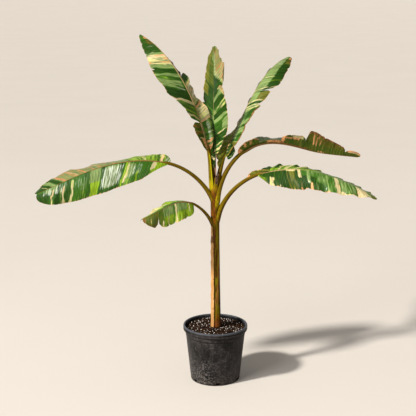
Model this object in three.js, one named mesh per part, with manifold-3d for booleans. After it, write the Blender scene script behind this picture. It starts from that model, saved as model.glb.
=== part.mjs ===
// Variegated banana plant in a round nursery pot.
// Millimetres, +Z up. The origin is the middle of the pot's flat underside,
// and -Y is the plant's front.

import * as THREE from 'three';
import { mergeVertices } from 'three/addons/utils/BufferGeometryUtils.js';
import Module from 'manifold-3d';

const wasm = await Module();
wasm.setup();

// ---------------------------------------------------------------- sizes

const GAP = 0.3; // clearance between pieces that touch

const POT_HEIGHT = 245;
const POT_BASE_RADIUS = 107;
const POT_SHOULDER_RADIUS = 128.5; // wall just under the shoulder band
const POT_BAND_RADIUS = 130; // shoulder band under the rolled rim
const POT_RIM_RADIUS = 140;
const POT_MOUTH_RADIUS = 131;
const POT_WALL = 2.8;
const POT_FLOOR = 3;
const RIM_HEIGHT = 22;
const BAND_HEIGHT = 18;
const DRAIN_COUNT = 6;
const DRAIN_WIDTH = 26;
const DRAIN_HEIGHT = 10;
const DRAIN_TURN = -84; // bearing of the first drain hole, degrees
const POT_FACETS = 40;

const SOIL_EDGE = 229; // height of the mix at the pot's wall
const SOIL_CROWN = 236; // height of the mix at the stem
const SOIL_CROWN_RADIUS = 34;

const STEM_TOP = 850;
const STEM_RADII = [22.5, 20.5, 19.5, 19, 19.5, 20.5]; // foot to top
const STEM_LEAN = [3, 0, -3]; // sideways place of the axis, foot to top
const STEM_FACETS = 12;
const STEM_STATIONS = 12;

const DRY_SHEATH = {
	foot: SOIL_CROWN + 0.6,
	top: 686,
	bearing: 207, // side of the stem it hangs on
	widths: [19, 16, 15, 14, 13, 4, 3], // foot to top
	thick: 4.7,
};

const SCRAP = {
	foot: [3, -6, STEM_TOP + GAP],
	height: 88,
	lean: -6, // sideways, foot to top
	widths: [6, 11, 13, 5],
	bearings: [20, 70, 110, 150], // how the flat side turns on the way up
	thick: 2,
};

// A leaf is a stalk and a blade along one smooth path. Angles are degrees:
// `bearing` is where it points, seen from above, and `rise` its slope. Each
// half of the blade stands at `set` from level at the midrib and bends by
// `curl` on the way to its margin. `lean` sweeps the veins forward. A torn
// half has flaps: [end, reach at its start, reach at its end, extra set,
// extra curl, depth of the tear after it], along the blade from 0 to 1.

const LEAVES = [
	{
		name: 'upper_left',
		bearing: 150,
		foot: [-12, -1, STEM_TOP + GAP],
		seated: true,
		stalk: 155,
		blade: 600,
		stalkRise: [81, 85, 79],
		bladeRise: [73, 68, 57, 44, 24],
		radii: [12, 8.5, 3],
		broadest: 0.45,
		baseRound: 1.7,
		tipRound: 1.5,
		left: {
			width: 112,
			set: [25, 12, -22, -48, 0],
			curl: [-20, -20],
			lean: [0, 20, 30, 35, 40],
			ripple: 5,
			waves: 5,
			flaps: [
				[0.2, 1.15, 0.62, -12, 0, 0.2],
				[0.335, 1.3, 1.25, 4, 0, 0.12],
				[0.42, 1.32, 1.08, 0, 0, 0],
				[1, 1.08, 0.97, 0, 0, 0],
			],
		},
		right: {
			width: 78,
			set: [40, 36, 20, -10, -6, -20, -23, -20, -12],
			curl: [0, 0],
			lean: [0, 20, 30, 35, 40],
			ripple: 3,
			waves: 5,
			flaps: [
				[0.46, 1.02, 0.85, 0, 0, 0.8],
				[0.555, 0.75, 0.8, 10, 0, 0.5],
				[1, 0.8, 0.9, -4, 0, 0],
			],
		},
	},
	{
		name: 'centre',
		bearing: 92,
		foot: [-5, 17, STEM_TOP + GAP],
		seated: true,
		stalk: 127,
		blade: 463,
		stalkRise: [87, 82, 80],
		bladeRise: [79, 78, 78, 78, 78],
		radii: [8, 6.5, 2.6],
		broadest: 0.4,
		baseRound: 2,
		tipRound: 1.6,
		left: {
			width: 95,
			set: [0, -42, -58, -54, -70],
			curl: [0, 0],
			lean: [20, 25, 35, 45, 55],
			ripple: 3,
			waves: 4,
		},
		right: {
			width: 98,
			set: [50, 45, 62, 55, 45],
			curl: [0, 0],
			lean: [20, 25, 35, 45, 55],
			ripple: 3,
			waves: 4,
			flaps: [
				[0.56, 1, 0.93, 0, 0, 0.3],
				[1, 1.45, 0.95, -50, 100, 0],
			],
		},
	},
	{
		name: 'upper_right',
		bearing: 35,
		foot: [6, 10, STEM_TOP + GAP],
		seated: true,
		stalk: 127,
		blade: 550,
		stalkRise: [78, 76, 70],
		bladeRise: [62, 58, 57, 43, 16],
		radii: [10.5, 8.5, 2.8],
		broadest: 0.5,
		baseRound: 2,
		tipRound: 1.8,
		left: {
			width: 78,
			set: [80, -20, -30, -27, -20],
			curl: [-10, -10],
			lean: [-60, 0, 25, 40, 50],
			ripple: 4,
			waves: 7,
			flaps: [
				[0.12, 1.75, 0.8, 0, 0, 0],
				[0.3, 0.8, 1, 0, 0, 0],
				[1, 1, 1, 0, 0, 0],
			],
		},
		right: {
			width: 100,
			set: [0, 20, 15, -10, -5],
			curl: [0, -20, -60, -70, -60],
			lean: [-10, 20, 30, 40, 55],
			ripple: 4,
			waves: 4,
			flaps: [
				[0.42, 0.8, 0.96, 0, 0, 0.2],
				[0.55, 0.85, 0.95, 0, 0, 0.3],
				[1, 1.12, 1, 0, 0, 0],
			],
		},
	},
	{
		name: 'arching_right',
		bearing: 20,
		foot: [6, -9, 795],
		stalk: 221,
		blade: 595,
		stalkRise: [83, 63, 39],
		bladeRise: [40, -2, -17, -9, -8],
		radii: [11, 8.5, 3],
		broadest: 0.45,
		baseRound: 2.2,
		tipRound: 1.7,
		left: {
			width: 90,
			set: [15, 20, 24, 20, 20],
			curl: [-20, -20],
			lean: [0, 15, 25, 25, 40],
			ripple: 5,
			waves: 6,
		},
		right: {
			width: 100,
			set: [60, 65, 65, 75, 60],
			curl: [0, 0],
			lean: [-20, 0, -8, 5, 30],
			ripple: 3,
			waves: 4,
			flaps: [
				[0.17, 0.85, 0.4, 0, 0, 0.8],
				[0.33, 0.2, 0.2, -20, 0, 0.3],
				[0.52, 0.42, 0.45, 0, 0, 0.4],
				[0.56, 0.72, 0.94, 10, 0, 0],
				[0.86, 0.94, 0.6, 10, 0, 0.4],
				[1, 0.5, 0.9, 0, 0, 0],
			],
		},
	},
	{
		name: 'lower_right',
		bearing: -18,
		foot: [8, -3, 723],
		stalk: 270,
		blade: 515,
		stalkRise: [74, 48, 22],
		bladeRise: [21, 5, -12, -21, -30],
		radii: [11.5, 8.5, 2.6],
		broadest: 0.4,
		baseRound: 2,
		tipRound: 1.5,
		left: {
			width: 100,
			set: [30, 8, -2, 0, 5],
			curl: [-20, -20],
			lean: [-10, 15, 25, 35, 50],
			ripple: 5,
			waves: 6,
		},
		right: {
			width: 100,
			set: [-20, -45, -32, -20, 10],
			curl: [-25, -25],
			lean: [-10, 15, 25, 35, 50],
			ripple: 6,
			waves: 7,
			flaps: [
				[0.1, 0.55, 1.03, 0, 0, 0],
				[0.35, 1.03, 0.98, 0, 0, 0],
				[0.39, 0.98, 0.84, 0, 0, 0],
				[0.45, 0.84, 0.95, 0, 0, 0],
				[1, 0.95, 1, 0, 0, 0],
			],
		},
	},
	{
		name: 'broad_left',
		bearing: 195,
		foot: [-10, -3, 797],
		stalk: 255,
		blade: 570,
		stalkRise: [64, 42, 17],
		bladeRise: [16, -1, -14, -22, -22],
		radii: [10, 7.5, 3],
		broadest: 0.42,
		baseRound: 2,
		tipRound: 2,
		left: {
			width: 121,
			set: [-20, -42, -52, -52, -40],
			curl: [-40, -40],
			lean: [10, 25, 25, 30, 35],
			ripple: 4,
			waves: 5,
			flaps: [
				[0.16, 0.3, 1, 0, 0, 0],
				[0.5, 1, 0.97, 0, 0, 0],
				[1, 0.97, 1, 0, 0, 0],
			],
		},
		right: {
			width: 120,
			set: [42, 6, 8, 20, 12],
			curl: [-20, -20],
			lean: [-25, 5, 20, 25, 30],
			ripple: 3,
			waves: 5,
		},
	},
	{
		name: 'old_lower_left',
		bearing: 215,
		foot: [-9, -4, 683],
		stalk: 155,
		blade: 255,
		stalkRise: [66, 47, 28],
		bladeRise: [28, 0, -17, -18, -16],
		radii: [7.5, 5.5, 2],
		broadest: 0.4,
		baseRound: 2.4,
		tipRound: 1.8,
		left: {
			width: 82,
			set: [-45, -50, -60, -55, -10],
			curl: [-25, -25],
			lean: [-20, 10, 20, 25, 40],
			ripple: 3,
			waves: 4,
			flaps: [
				[0.7, 1, 1, 0, 0, 0.45],
				[1, 1, 1, 0, 0, 0],
			],
		},
		right: {
			width: 75,
			set: [5, 2, -2, -10, -15],
			curl: [-20, -20],
			lean: [-20, 10, 20, 25, 40],
			ripple: 3,
			waves: 4,
		},
	},
];

const WHOLE_HALF = [[1, 1, 1, 0, 0, 0]];
const BLADE_THICKNESS = 0.0102; // of the blade's length
const BLADE_ROWS = 18; // rows of facets along a blade
const BLADE_COLUMNS = 3; // facets from midrib to margin
const TEAR_HALF_WIDTH = 0.01; // of the blade's length
const MARGIN_LEAST = 3; // least reach of a half, so that it never closes to an edge
const STALK_FACETS = 8;
const MIDRIB_FACETS = 6;
const PATH_STEPS = 80;

// ---------------------------------------------------------------- helpers

const radians = THREE.MathUtils.degToRad;
const clamp = THREE.MathUtils.clamp;
const lerp = THREE.MathUtils.lerp;

/** A smooth curve through evenly spaced keys, for x from 0 to 1. */
function keyed( keys, x ) {

	const last = keys.length - 1;
	const place = clamp( x, 0, 1 ) * last;
	const i = Math.min( Math.floor( place ), last - 1 );
	const f = place - i;
	const slope = ( j ) => {

		const before = Math.max( j - 1, 0 );
		const after = Math.min( j + 1, last );
		return ( keys[ after ] - keys[ before ] ) / ( after - before );

	};

	const cube = f * f * f;
	const square = f * f;
	return ( 2 * cube - 3 * square + 1 ) * keys[ i ] + ( cube - 2 * square + f ) * slope( i )
		+ ( 3 * square - 2 * cube ) * keys[ i + 1 ] + ( cube - square ) * slope( i + 1 );

}

/** A quarter of a rounded outline: 0 at x = 0, 1 at x = 1. */
function quarter( x, roundness ) {

	return ( 1 - ( 1 - clamp( x, 0, 1 ) ) ** roundness ) ** ( 1 / roundness );

}

/** Half-width of a blade at t along it, as a share of its broadest. */
function outline( leaf, t ) {

	if ( t < leaf.broadest ) return quarter( t / leaf.broadest, leaf.baseRound );
	return quarter( ( 1 - t ) / ( 1 - leaf.broadest ), leaf.tipRound );

}

/** A closed mesh as a solid. */
function solid( geometry ) {

	const bare = geometry.clone();
	bare.deleteAttribute( 'normal' );
	bare.deleteAttribute( 'uv' );
	const merged = mergeVertices( bare, 1e-4 );
	const index = merged.index.array;
	const kept = [];
	for ( let i = 0; i < index.length; i += 3 ) {

		const [ a, b, c ] = [ index[ i ], index[ i + 1 ], index[ i + 2 ] ];
		if ( a !== b && b !== c && c !== a ) kept.push( a, b, c );

	}

	return new wasm.Manifold( new wasm.Mesh( {
		numProp: 3,
		vertProperties: new Float32Array( merged.attributes.position.array ),
		triVerts: new Uint32Array( kept ),
	} ) );

}

/** A solid as a drawable geometry. */
function geometryOf( body ) {

	const mesh = body.getMesh();
	const geometry = new THREE.BufferGeometry();
	geometry.setAttribute( 'position', new THREE.BufferAttribute( new Float32Array( mesh.vertProperties ), 3 ) );
	geometry.setIndex( Array.from( mesh.triVerts ) );
	geometry.computeVertexNormals();
	return geometry;

}

/** Skins a row of closed rings, each with the same even number of points, and closes both ends. */
function skin( rings ) {

	const count = rings[ 0 ].length;
	const points = rings.flat();
	const faces = [];
	const quad = ( a, b, c, d ) => faces.push( a, b, c, a, c, d );
	for ( let r = 0; r < rings.length - 1; r ++ ) {

		for ( let i = 0; i < count; i ++ ) {

			const next = ( i + 1 ) % count;
			quad( r * count + i, r * count + next, ( r + 1 ) * count + next, ( r + 1 ) * count + i );

		}

	}

	const top = ( rings.length - 1 ) * count;
	for ( let i = 0; i < count / 2 - 1; i ++ ) {

		const across = count - 1 - i;
		quad( i, across, across - 1, i + 1 );
		quad( top + i, top + i + 1, top + across - 1, top + across );

	}

	let volume = 0;
	for ( let i = 0; i < faces.length; i += 3 ) {

		const [ a, b, c ] = [ points[ faces[ i ] ], points[ faces[ i + 1 ] ], points[ faces[ i + 2 ] ] ];
		volume += a.dot( b.clone().cross( c ) );

	}

	if ( volume < 0 ) faces.reverse();

	const geometry = new THREE.BufferGeometry().setFromPoints( points );
	geometry.setIndex( faces );
	return solid( geometry );

}

/** One ring of a limb: a regular polygon in the plane of two unit vectors. */
function ring( centre, radius, sideways, upward, facets ) {

	return Array.from( { length: facets }, ( _, i ) => {

		const angle = ( i + 0.5 ) * 2 * Math.PI / facets;
		return centre.clone()
			.addScaledVector( sideways, radius * Math.cos( angle ) )
			.addScaledVector( upward, radius * Math.sin( angle ) );

	} );

}

/** A path that leaves `start` on a bearing, with its slope given by keys. */
function walk( start, bearing, rises, length ) {

	const turn = radians( bearing );
	const heading = new THREE.Vector3( Math.cos( turn ), Math.sin( turn ), 0 );
	const left = new THREE.Vector3( - Math.sin( turn ), Math.cos( turn ), 0 );
	const places = [ start.clone() ];
	for ( let i = 0; i < PATH_STEPS; i ++ ) {

		const slope = radians( keyed( rises, ( i + 0.5 ) / PATH_STEPS ) );
		const step = heading.clone().multiplyScalar( Math.cos( slope ) );
		step.z = Math.sin( slope );
		places.push( places[ i ].clone().addScaledVector( step, length / PATH_STEPS ) );

	}

	return ( t ) => {

		const place = clamp( t, 0, 1 ) * PATH_STEPS;
		const i = Math.min( Math.floor( place ), PATH_STEPS - 1 );
		const point = places[ i ].clone().lerp( places[ i + 1 ], place - i );
		const slope = radians( keyed( rises, t ) );
		const forward = heading.clone().multiplyScalar( Math.cos( slope ) );
		forward.z = Math.sin( slope );
		const up = forward.clone().cross( left );
		return { point, forward, left, up };

	};

}

/** The two stretches of a leaf's path. */
function pathOf( leaf ) {

	const stalk = walk( new THREE.Vector3( ...leaf.foot ), leaf.bearing, leaf.stalkRise, leaf.stalk );
	const blade = walk( stalk( 1 ).point, leaf.bearing, leaf.bladeRise, leaf.blade );
	return { stalk, blade };

}

// ---------------------------------------------------------------- pot and mix

/** A solid turned about the pot's axis from [radius, height] points. */
function turned( profile, facets ) {

	const points = profile.map( ( [ r, z ] ) => new THREE.Vector2( r, z ) );
	const geometry = new THREE.LatheGeometry( points, facets );
	geometry.rotateX( Math.PI / 2 );
	return solid( geometry );

}

/** Radius of the pot's tapering wall at a height, outside. */
function wallRadius( z ) {

	const shoulder = POT_HEIGHT - RIM_HEIGHT - BAND_HEIGHT;
	return lerp( POT_BASE_RADIUS, POT_SHOULDER_RADIUS, z / shoulder );

}

function makePot() {

	const rimFoot = POT_HEIGHT - RIM_HEIGHT;
	const bandFoot = rimFoot - BAND_HEIGHT;
	const pot = turned( [
		[ 0, 0 ],
		[ POT_BASE_RADIUS, 0 ],
		[ POT_SHOULDER_RADIUS, bandFoot ],
		[ POT_BAND_RADIUS, bandFoot + 1.5 ],
		[ POT_BAND_RADIUS + 0.5, rimFoot ],
		[ POT_RIM_RADIUS - 2, rimFoot + 1 ],
		[ POT_RIM_RADIUS, rimFoot + 3.5 ],
		[ POT_RIM_RADIUS, POT_HEIGHT - 4 ],
		[ POT_RIM_RADIUS - 1.5, POT_HEIGHT - 1 ],
		[ POT_RIM_RADIUS - 4, POT_HEIGHT ],
		[ POT_MOUTH_RADIUS + 1.5, POT_HEIGHT ],
		[ POT_MOUTH_RADIUS, POT_HEIGHT - 2 ],
		[ POT_MOUTH_RADIUS - 1, rimFoot ],
		[ wallRadius( bandFoot ) - POT_WALL, bandFoot - 2 ],
		[ wallRadius( POT_FLOOR ) - POT_WALL, POT_FLOOR ],
		[ 0, POT_FLOOR ],
	], POT_FACETS );

	let drained = pot;
	for ( let i = 0; i < DRAIN_COUNT; i ++ ) {

		const turn = radians( DRAIN_TURN + i * 360 / DRAIN_COUNT );
		const hole = new THREE.CylinderGeometry( DRAIN_WIDTH / 2, DRAIN_WIDTH / 2, 16, 12 );
		hole.rotateZ( Math.PI / 2 );
		hole.scale( 1, 1, DRAIN_HEIGHT / DRAIN_WIDTH );
		hole.translate( POT_BASE_RADIUS, 0, POT_FLOOR + 1 + DRAIN_HEIGHT / 2 );
		hole.rotateZ( turn );
		drained = drained.subtract( solid( hole ) );

	}

	return drained;

}

function makeMix() {

	const rimFoot = POT_HEIGHT - RIM_HEIGHT;
	const bandFoot = rimFoot - BAND_HEIGHT;
	const inset = POT_WALL + GAP + 0.1;
	const edge = POT_MOUTH_RADIUS - 1 - GAP - 0.1;
	return turned( [
		[ 0, POT_FLOOR + GAP ],
		[ wallRadius( POT_FLOOR ) - inset - 0.2, POT_FLOOR + GAP ],
		[ wallRadius( bandFoot ) - inset - 0.3, bandFoot - 2 ],
		[ edge - 0.2, rimFoot ],
		[ edge, SOIL_EDGE ],
		[ ( SOIL_CROWN_RADIUS + POT_MOUTH_RADIUS ) / 2, lerp( SOIL_EDGE, SOIL_CROWN, 0.55 ) ],
		[ SOIL_CROWN_RADIUS, SOIL_CROWN ],
		[ 0, SOIL_CROWN ],
	], POT_FACETS );

}

// ---------------------------------------------------------------- stem

/** Centre and radius of the stem at h from its foot (0) to its top (1). */
function stemAt( h ) {

	return {
		centre: new THREE.Vector3( keyed( STEM_LEAN, h ), 0, lerp( SOIL_CROWN + GAP, STEM_TOP, h ) ),
		radius: keyed( STEM_RADII, h ),
	};

}

/** The stem, or a cutter for what grows on it when it is grown by `extra`. */
function makeStem( extra ) {

	const across = new THREE.Vector3( 1, 0, 0 );
	const away = new THREE.Vector3( 0, 1, 0 );
	const rings = [];
	for ( let i = 0; i <= STEM_STATIONS; i ++ ) {

		const { centre, radius } = stemAt( i / STEM_STATIONS );
		if ( i === STEM_STATIONS ) centre.z += extra;
		rings.push( ring( centre, radius + extra, across, away, STEM_FACETS ) );

	}

	return skin( rings );

}

/** The tan dry sheath that clings to one side of the stem. */
function makeDrySheath( cutter ) {

	const rows = 14;
	const columns = 3;
	const rings = [];
	for ( let i = 0; i <= rows; i ++ ) {

		const z = lerp( DRY_SHEATH.foot, DRY_SHEATH.top, i / rows );
		const { centre, radius } = stemAt( ( z - SOIL_CROWN ) / ( STEM_TOP - SOIL_CROWN ) );
		centre.z = z;
		const inner = radius - 1;
		const outer = radius + GAP + DRY_SHEATH.thick;
		const sweep = keyed( DRY_SHEATH.widths, i / rows ) / outer;
		const point = ( reach, u ) => {

			const turn = radians( DRY_SHEATH.bearing ) + sweep * ( u - 0.5 ) * 2;
			return centre.clone().add( new THREE.Vector3( reach * Math.cos( turn ), reach * Math.sin( turn ), 0 ) );

		};

		const loop = [];
		for ( let j = 0; j <= columns; j ++ ) loop.push( point( outer, j / columns ) );
		for ( let j = columns; j >= 0; j -- ) loop.push( point( inner, j / columns ) );
		rings.push( loop );

	}

	return skin( rings ).subtract( cutter );

}

/** A withered leaf remnant that twists up between the young stalks. */
function makeScrap() {

	const rows = 6;
	const rings = [];
	for ( let i = 0; i <= rows; i ++ ) {

		const h = i / rows;
		const turn = radians( keyed( SCRAP.bearings, h ) );
		const across = new THREE.Vector3( Math.cos( turn ), Math.sin( turn ), 0 );
		const outward = new THREE.Vector3( - Math.sin( turn ), Math.cos( turn ), 0 );
		const centre = new THREE.Vector3( ...SCRAP.foot );
		centre.x += h * h * SCRAP.lean;
		centre.z += h * SCRAP.height;
		const half = keyed( SCRAP.widths, h ) / 2;
		const corner = ( side, face ) => centre.clone()
			.addScaledVector( across, side * half )
			.addScaledVector( outward, face * SCRAP.thick / 2 );
		rings.push( [ corner( - 1, 1 ), corner( 1, 1 ), corner( 1, - 1 ), corner( - 1, - 1 ) ] );

	}

	return skin( rings );

}

// ---------------------------------------------------------------- leaves

/** A leaf's stalk, grown by `extra` where it is to be a cutter. */
function makeStalk( leaf, extra ) {

	const path = pathOf( leaf ).stalk;
	const stations = Math.ceil( leaf.stalk / 26 );
	const rings = [];
	for ( let i = 0; i <= stations; i ++ ) {

		const t = i / stations;
		const { point, forward, left, up } = path( t );
		const radius = lerp( leaf.radii[ 0 ], leaf.radii[ 1 ], t ) + extra;
		if ( i === stations ) point.addScaledVector( forward, extra - GAP / 2 );
		const level = leaf.seated && i === 0;
		if ( level ) up.set( left.y, - left.x, 0 ).negate();
		rings.push( ring( point, radius, left, up, STALK_FACETS ) );

	}

	return skin( rings );

}

/** Where the rows of facets lie along one half of a blade, and how each flap bends. */
function rowsOf( half ) {

	const flaps = half.flaps ?? WHOLE_HALF;
	const rows = [];
	let start = 0;
	flaps.forEach( ( [ end, reachStart, reachEnd, lift, curl, tear ], k ) => {

		const from = k === 0 ? 0 : start + TEAR_HALF_WIDTH;
		const final = k === flaps.length - 1;
		const to = final ? 1 : end - TEAR_HALF_WIDTH;
		const count = Math.max( 2, Math.round( ( to - from ) * BLADE_ROWS ) );
		for ( let i = 0; i <= count; i ++ ) {

			const f = i / count;
			rows.push( { t: lerp( from, to, f ), reach: lerp( reachStart, reachEnd, f ), lift, curl } );

		}

		if ( ! final ) {

			const [ , nextReach, , nextLift, nextCurl ] = flaps[ k + 1 ];
			rows.push( {
				t: end,
				reach: ( 1 - tear ) * Math.min( reachEnd, nextReach ),
				lift: ( lift + nextLift ) / 2,
				curl: ( curl + nextCurl ) / 2,
			} );

		}

		start = end;

	} );
	return rows;

}

/** One half of a blade as a thin solid. `side` is 1 on the left and -1 on the right. */
function makeHalf( leaf, half, side ) {

	const path = pathOf( leaf ).blade;
	const thickness = leaf.blade * BLADE_THICKNESS;
	const rings = rowsOf( half ).map( ( row ) => {

		const t = clamp( row.t, 0.012, 0.985 );
		const { point, forward, left, up } = path( t );
		const width = Math.max( half.width * outline( leaf, t ) * row.reach, MARGIN_LEAST );
		const set = keyed( half.set, t ) + row.lift;
		const curl = keyed( half.curl, t ) + row.curl;
		const lean = radians( keyed( half.lean, t ) );
		const upper = [];
		const lower = [];
		const place = point.clone();
		for ( let j = 0; j <= BLADE_COLUMNS; j ++ ) {

			const u = j / BLADE_COLUMNS;
			const angle = radians( set + curl * u );
			const normal = up.clone().multiplyScalar( Math.cos( angle ) )
				.addScaledVector( left, - side * Math.sin( angle ) );
			const wave = half.ripple * u * u * Math.min( 1, width / 60 )
				* Math.sin( 2 * Math.PI * half.waves * t );
			upper.push( place.clone().addScaledVector( normal, wave + thickness / 2 ) );
			lower.unshift( place.clone().addScaledVector( normal, wave - thickness / 2 ) );
			const bend = radians( set + curl * ( u + 0.5 / BLADE_COLUMNS ) );
			const across = left.clone().multiplyScalar( side * Math.cos( bend ) )
				.addScaledVector( up, Math.sin( bend ) );
			place.addScaledVector( across, Math.cos( lean ) * width / BLADE_COLUMNS );
			place.addScaledVector( forward, Math.sin( lean ) * width / BLADE_COLUMNS );

		}

		return [ ...upper, ...lower ];

	} );
	return skin( rings );

}

/** A whole blade: both halves joined to the tapering midrib. */
function makeBlade( leaf ) {

	const path = pathOf( leaf ).blade;
	const stations = 14;
	const rings = [];
	for ( let i = 0; i <= stations; i ++ ) {

		const t = i / stations;
		const { point, left, up } = path( t );
		rings.push( ring( point, lerp( leaf.radii[ 1 ], leaf.radii[ 2 ], t ), left, up, MIDRIB_FACETS ) );

	}

	return skin( rings )
		.add( makeHalf( leaf, leaf.left, 1 ) )
		.add( makeHalf( leaf, leaf.right, - 1 ) )
		.subtract( makeStalk( leaf, GAP ) );

}

// ---------------------------------------------------------------- assembly

const plant = new THREE.Group();

function place( name, body, color, roughness ) {

	const material = new THREE.MeshStandardMaterial( { color, roughness, metalness: 0 } );
	const mesh = new THREE.Mesh( geometryOf( body ), material );
	mesh.name = name;
	plant.add( mesh );

}

place( 'nursery_pot', makePot(), 0x2b2a29, 0.6 );
place( 'potting_mix', makeMix(), 0x3a2c22, 0.95 );
place( 'stem', makeStem( 0 ), 0x75602c, 0.6 );

const stemCutter = makeStem( GAP );
place( 'dry_sheath', makeDrySheath( stemCutter ), 0xb67c48, 0.85 );
place( 'withered_scrap', makeScrap(), 0x4b3a2c, 0.9 );

let cutter = stemCutter;
for ( const leaf of LEAVES ) {

	place( 'stalk_' + leaf.name, makeStalk( leaf, 0 ).subtract( cutter ), 0x8a7c2e, 0.5 );
	cutter = cutter.add( makeStalk( leaf, GAP ) );

}

for ( const leaf of LEAVES ) {

	place( 'blade_' + leaf.name, makeBlade( leaf ), 0x53793c, 0.45 );

}

export default plant;
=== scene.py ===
# %% [markdown]
# # A variegated banana plant in a nursery pot
#
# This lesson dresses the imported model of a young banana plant. The plant has
# one leafy stem, seven long leaves streaked with cream, and a black nursery
# pot of bark mix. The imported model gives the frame: every piece made here
# stands where its solid stands, and takes that solid's place in the view.

# %% Load the frame
import math

import bmesh
import bpy
import numpy as np
from mathutils import Matrix, Vector


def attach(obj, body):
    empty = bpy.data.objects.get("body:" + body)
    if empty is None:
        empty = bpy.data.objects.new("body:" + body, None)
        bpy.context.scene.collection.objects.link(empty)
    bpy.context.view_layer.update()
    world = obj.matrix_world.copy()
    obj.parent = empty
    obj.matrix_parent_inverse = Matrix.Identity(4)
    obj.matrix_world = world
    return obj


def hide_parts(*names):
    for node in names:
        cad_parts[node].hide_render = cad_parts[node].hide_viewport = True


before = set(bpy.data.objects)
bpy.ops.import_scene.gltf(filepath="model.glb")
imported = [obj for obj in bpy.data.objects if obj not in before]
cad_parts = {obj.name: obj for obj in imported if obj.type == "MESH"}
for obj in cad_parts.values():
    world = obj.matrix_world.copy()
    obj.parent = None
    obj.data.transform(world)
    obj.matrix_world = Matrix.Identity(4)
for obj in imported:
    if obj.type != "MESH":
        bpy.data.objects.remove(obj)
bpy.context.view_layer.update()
BODY = "root"
MM = 0.001  # the sizes below are millimetres

# %% [markdown]
# ## The camera and the light
#
# The plant is seen from standing height, with a long lens. A long lens keeps
# the tall plant from leaning outwards. The light is soft: a broad lamp high
# on the left gives the leaves their shine, and a pale sky fills the shadows.
# The floor is plain, and wide enough that no view shows its end.

# %% Camera, lamps and floor
CAMERA_PLACE = (-0.032, -3.727, 1.574)
CAMERA_TILT = math.radians(90 - 12.3)
FOCAL_PIXELS = 900.0
PICTURE_PIXELS = 416.0
SENSOR = 36.0
SIGHT = 1000  # how far the camera sees


def put(name, data):
    """A new object in the scene that holds the data."""
    thing = bpy.data.objects.new(name, data)
    bpy.context.scene.collection.objects.link(thing)
    return thing


camera = put("camera", bpy.data.cameras.new("camera"))
camera.location = CAMERA_PLACE
camera.rotation_euler = (CAMERA_TILT, 0, 0)
camera.data.sensor_width = SENSOR
camera.data.lens = FOCAL_PIXELS / PICTURE_PIXELS * SENSOR
camera.data.clip_end = SIGHT
bpy.context.scene.camera = camera

LAMPS = [  # name, kind, place, aimed at, power, size, colour
    ("key", "SUN", (-3.1, -1.95, 3.8), (0, 0, 0.9), 4.6, 0.09, (1.0, 0.95, 0.87)),
    ("window", "AREA", (-3.4, -3.7, 4.0), (-0.2, 0, 0.8), 125, 2.2, (1.0, 0.98, 0.95)),
    ("fill", "AREA", (3.2, -2.6, 2.2), (0, 0, 0.8), 4, 2.4, (0.95, 0.97, 1.0)),
]
for name, kind, place, target, power, size, colour in LAMPS:
    lamp = bpy.data.lights.new(name, kind)
    lamp.energy = power
    lamp.color = colour
    if kind == "SUN":
        lamp.angle = size
    else:
        lamp.shape = "DISK"
        lamp.size = size
    holder = put(name, lamp)
    holder.location = place
    aim = Vector(target) - Vector(place)
    holder.rotation_euler = aim.to_track_quat("-Z", "Y").to_euler()

SKY, SKY_STRENGTH = (0.84, 0.80, 0.76), 0.36
world = bpy.data.worlds.new("studio")
world.use_nodes = True
sky = world.node_tree.nodes["Background"]
sky.inputs["Color"].default_value = (*SKY, 1)
sky.inputs["Strength"].default_value = SKY_STRENGTH
bpy.context.scene.world = world
bpy.context.scene.view_settings.view_transform = "Standard"
print("lamps:", [row[0] for row in LAMPS])

# %% [markdown]
# ## Sums of sockets
#
# A finish is a small sum over a surface: a stain where the noise is high, a
# streak where the stripe is thin. Written as nodes, such a sum is long. So
# one class wraps a socket and lets Python's own signs make the Math nodes.
# A second class holds a material and makes every other node.

# %% Field and Finish
class Field:
    """One value over a surface, which can be added, multiplied and so on."""

    def __init__(self, finish, socket):
        self.finish = finish
        self.socket = socket

    def sum_node(self, operation, *terms):
        return self.finish.node("ShaderNodeMath", {"operation": operation}, dict(enumerate(terms)))

    def __add__(self, other):
        return self.sum_node("ADD", self, other)

    def __radd__(self, other):
        return self.sum_node("ADD", other, self)

    def __sub__(self, other):
        return self.sum_node("SUBTRACT", self, other)

    def __rsub__(self, other):
        return self.sum_node("SUBTRACT", other, self)

    def __mul__(self, other):
        return self.sum_node("MULTIPLY", self, other)

    def __rmul__(self, other):
        return self.sum_node("MULTIPLY", other, self)

    def wave(self):
        return self.sum_node("SINE", self)

    def most(self, other):
        return self.sum_node("MAXIMUM", self, other)

    def least(self, other):
        return self.sum_node("MINIMUM", self, other)

    def ease(self, start, end):
        """0 below start, 1 above end, and smooth between them."""
        return self.finish.node(
            "ShaderNodeMapRange",
            {"interpolation_type": "SMOOTHSTEP"},
            {"Value": self, "From Min": start, "From Max": end},
        )


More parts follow.
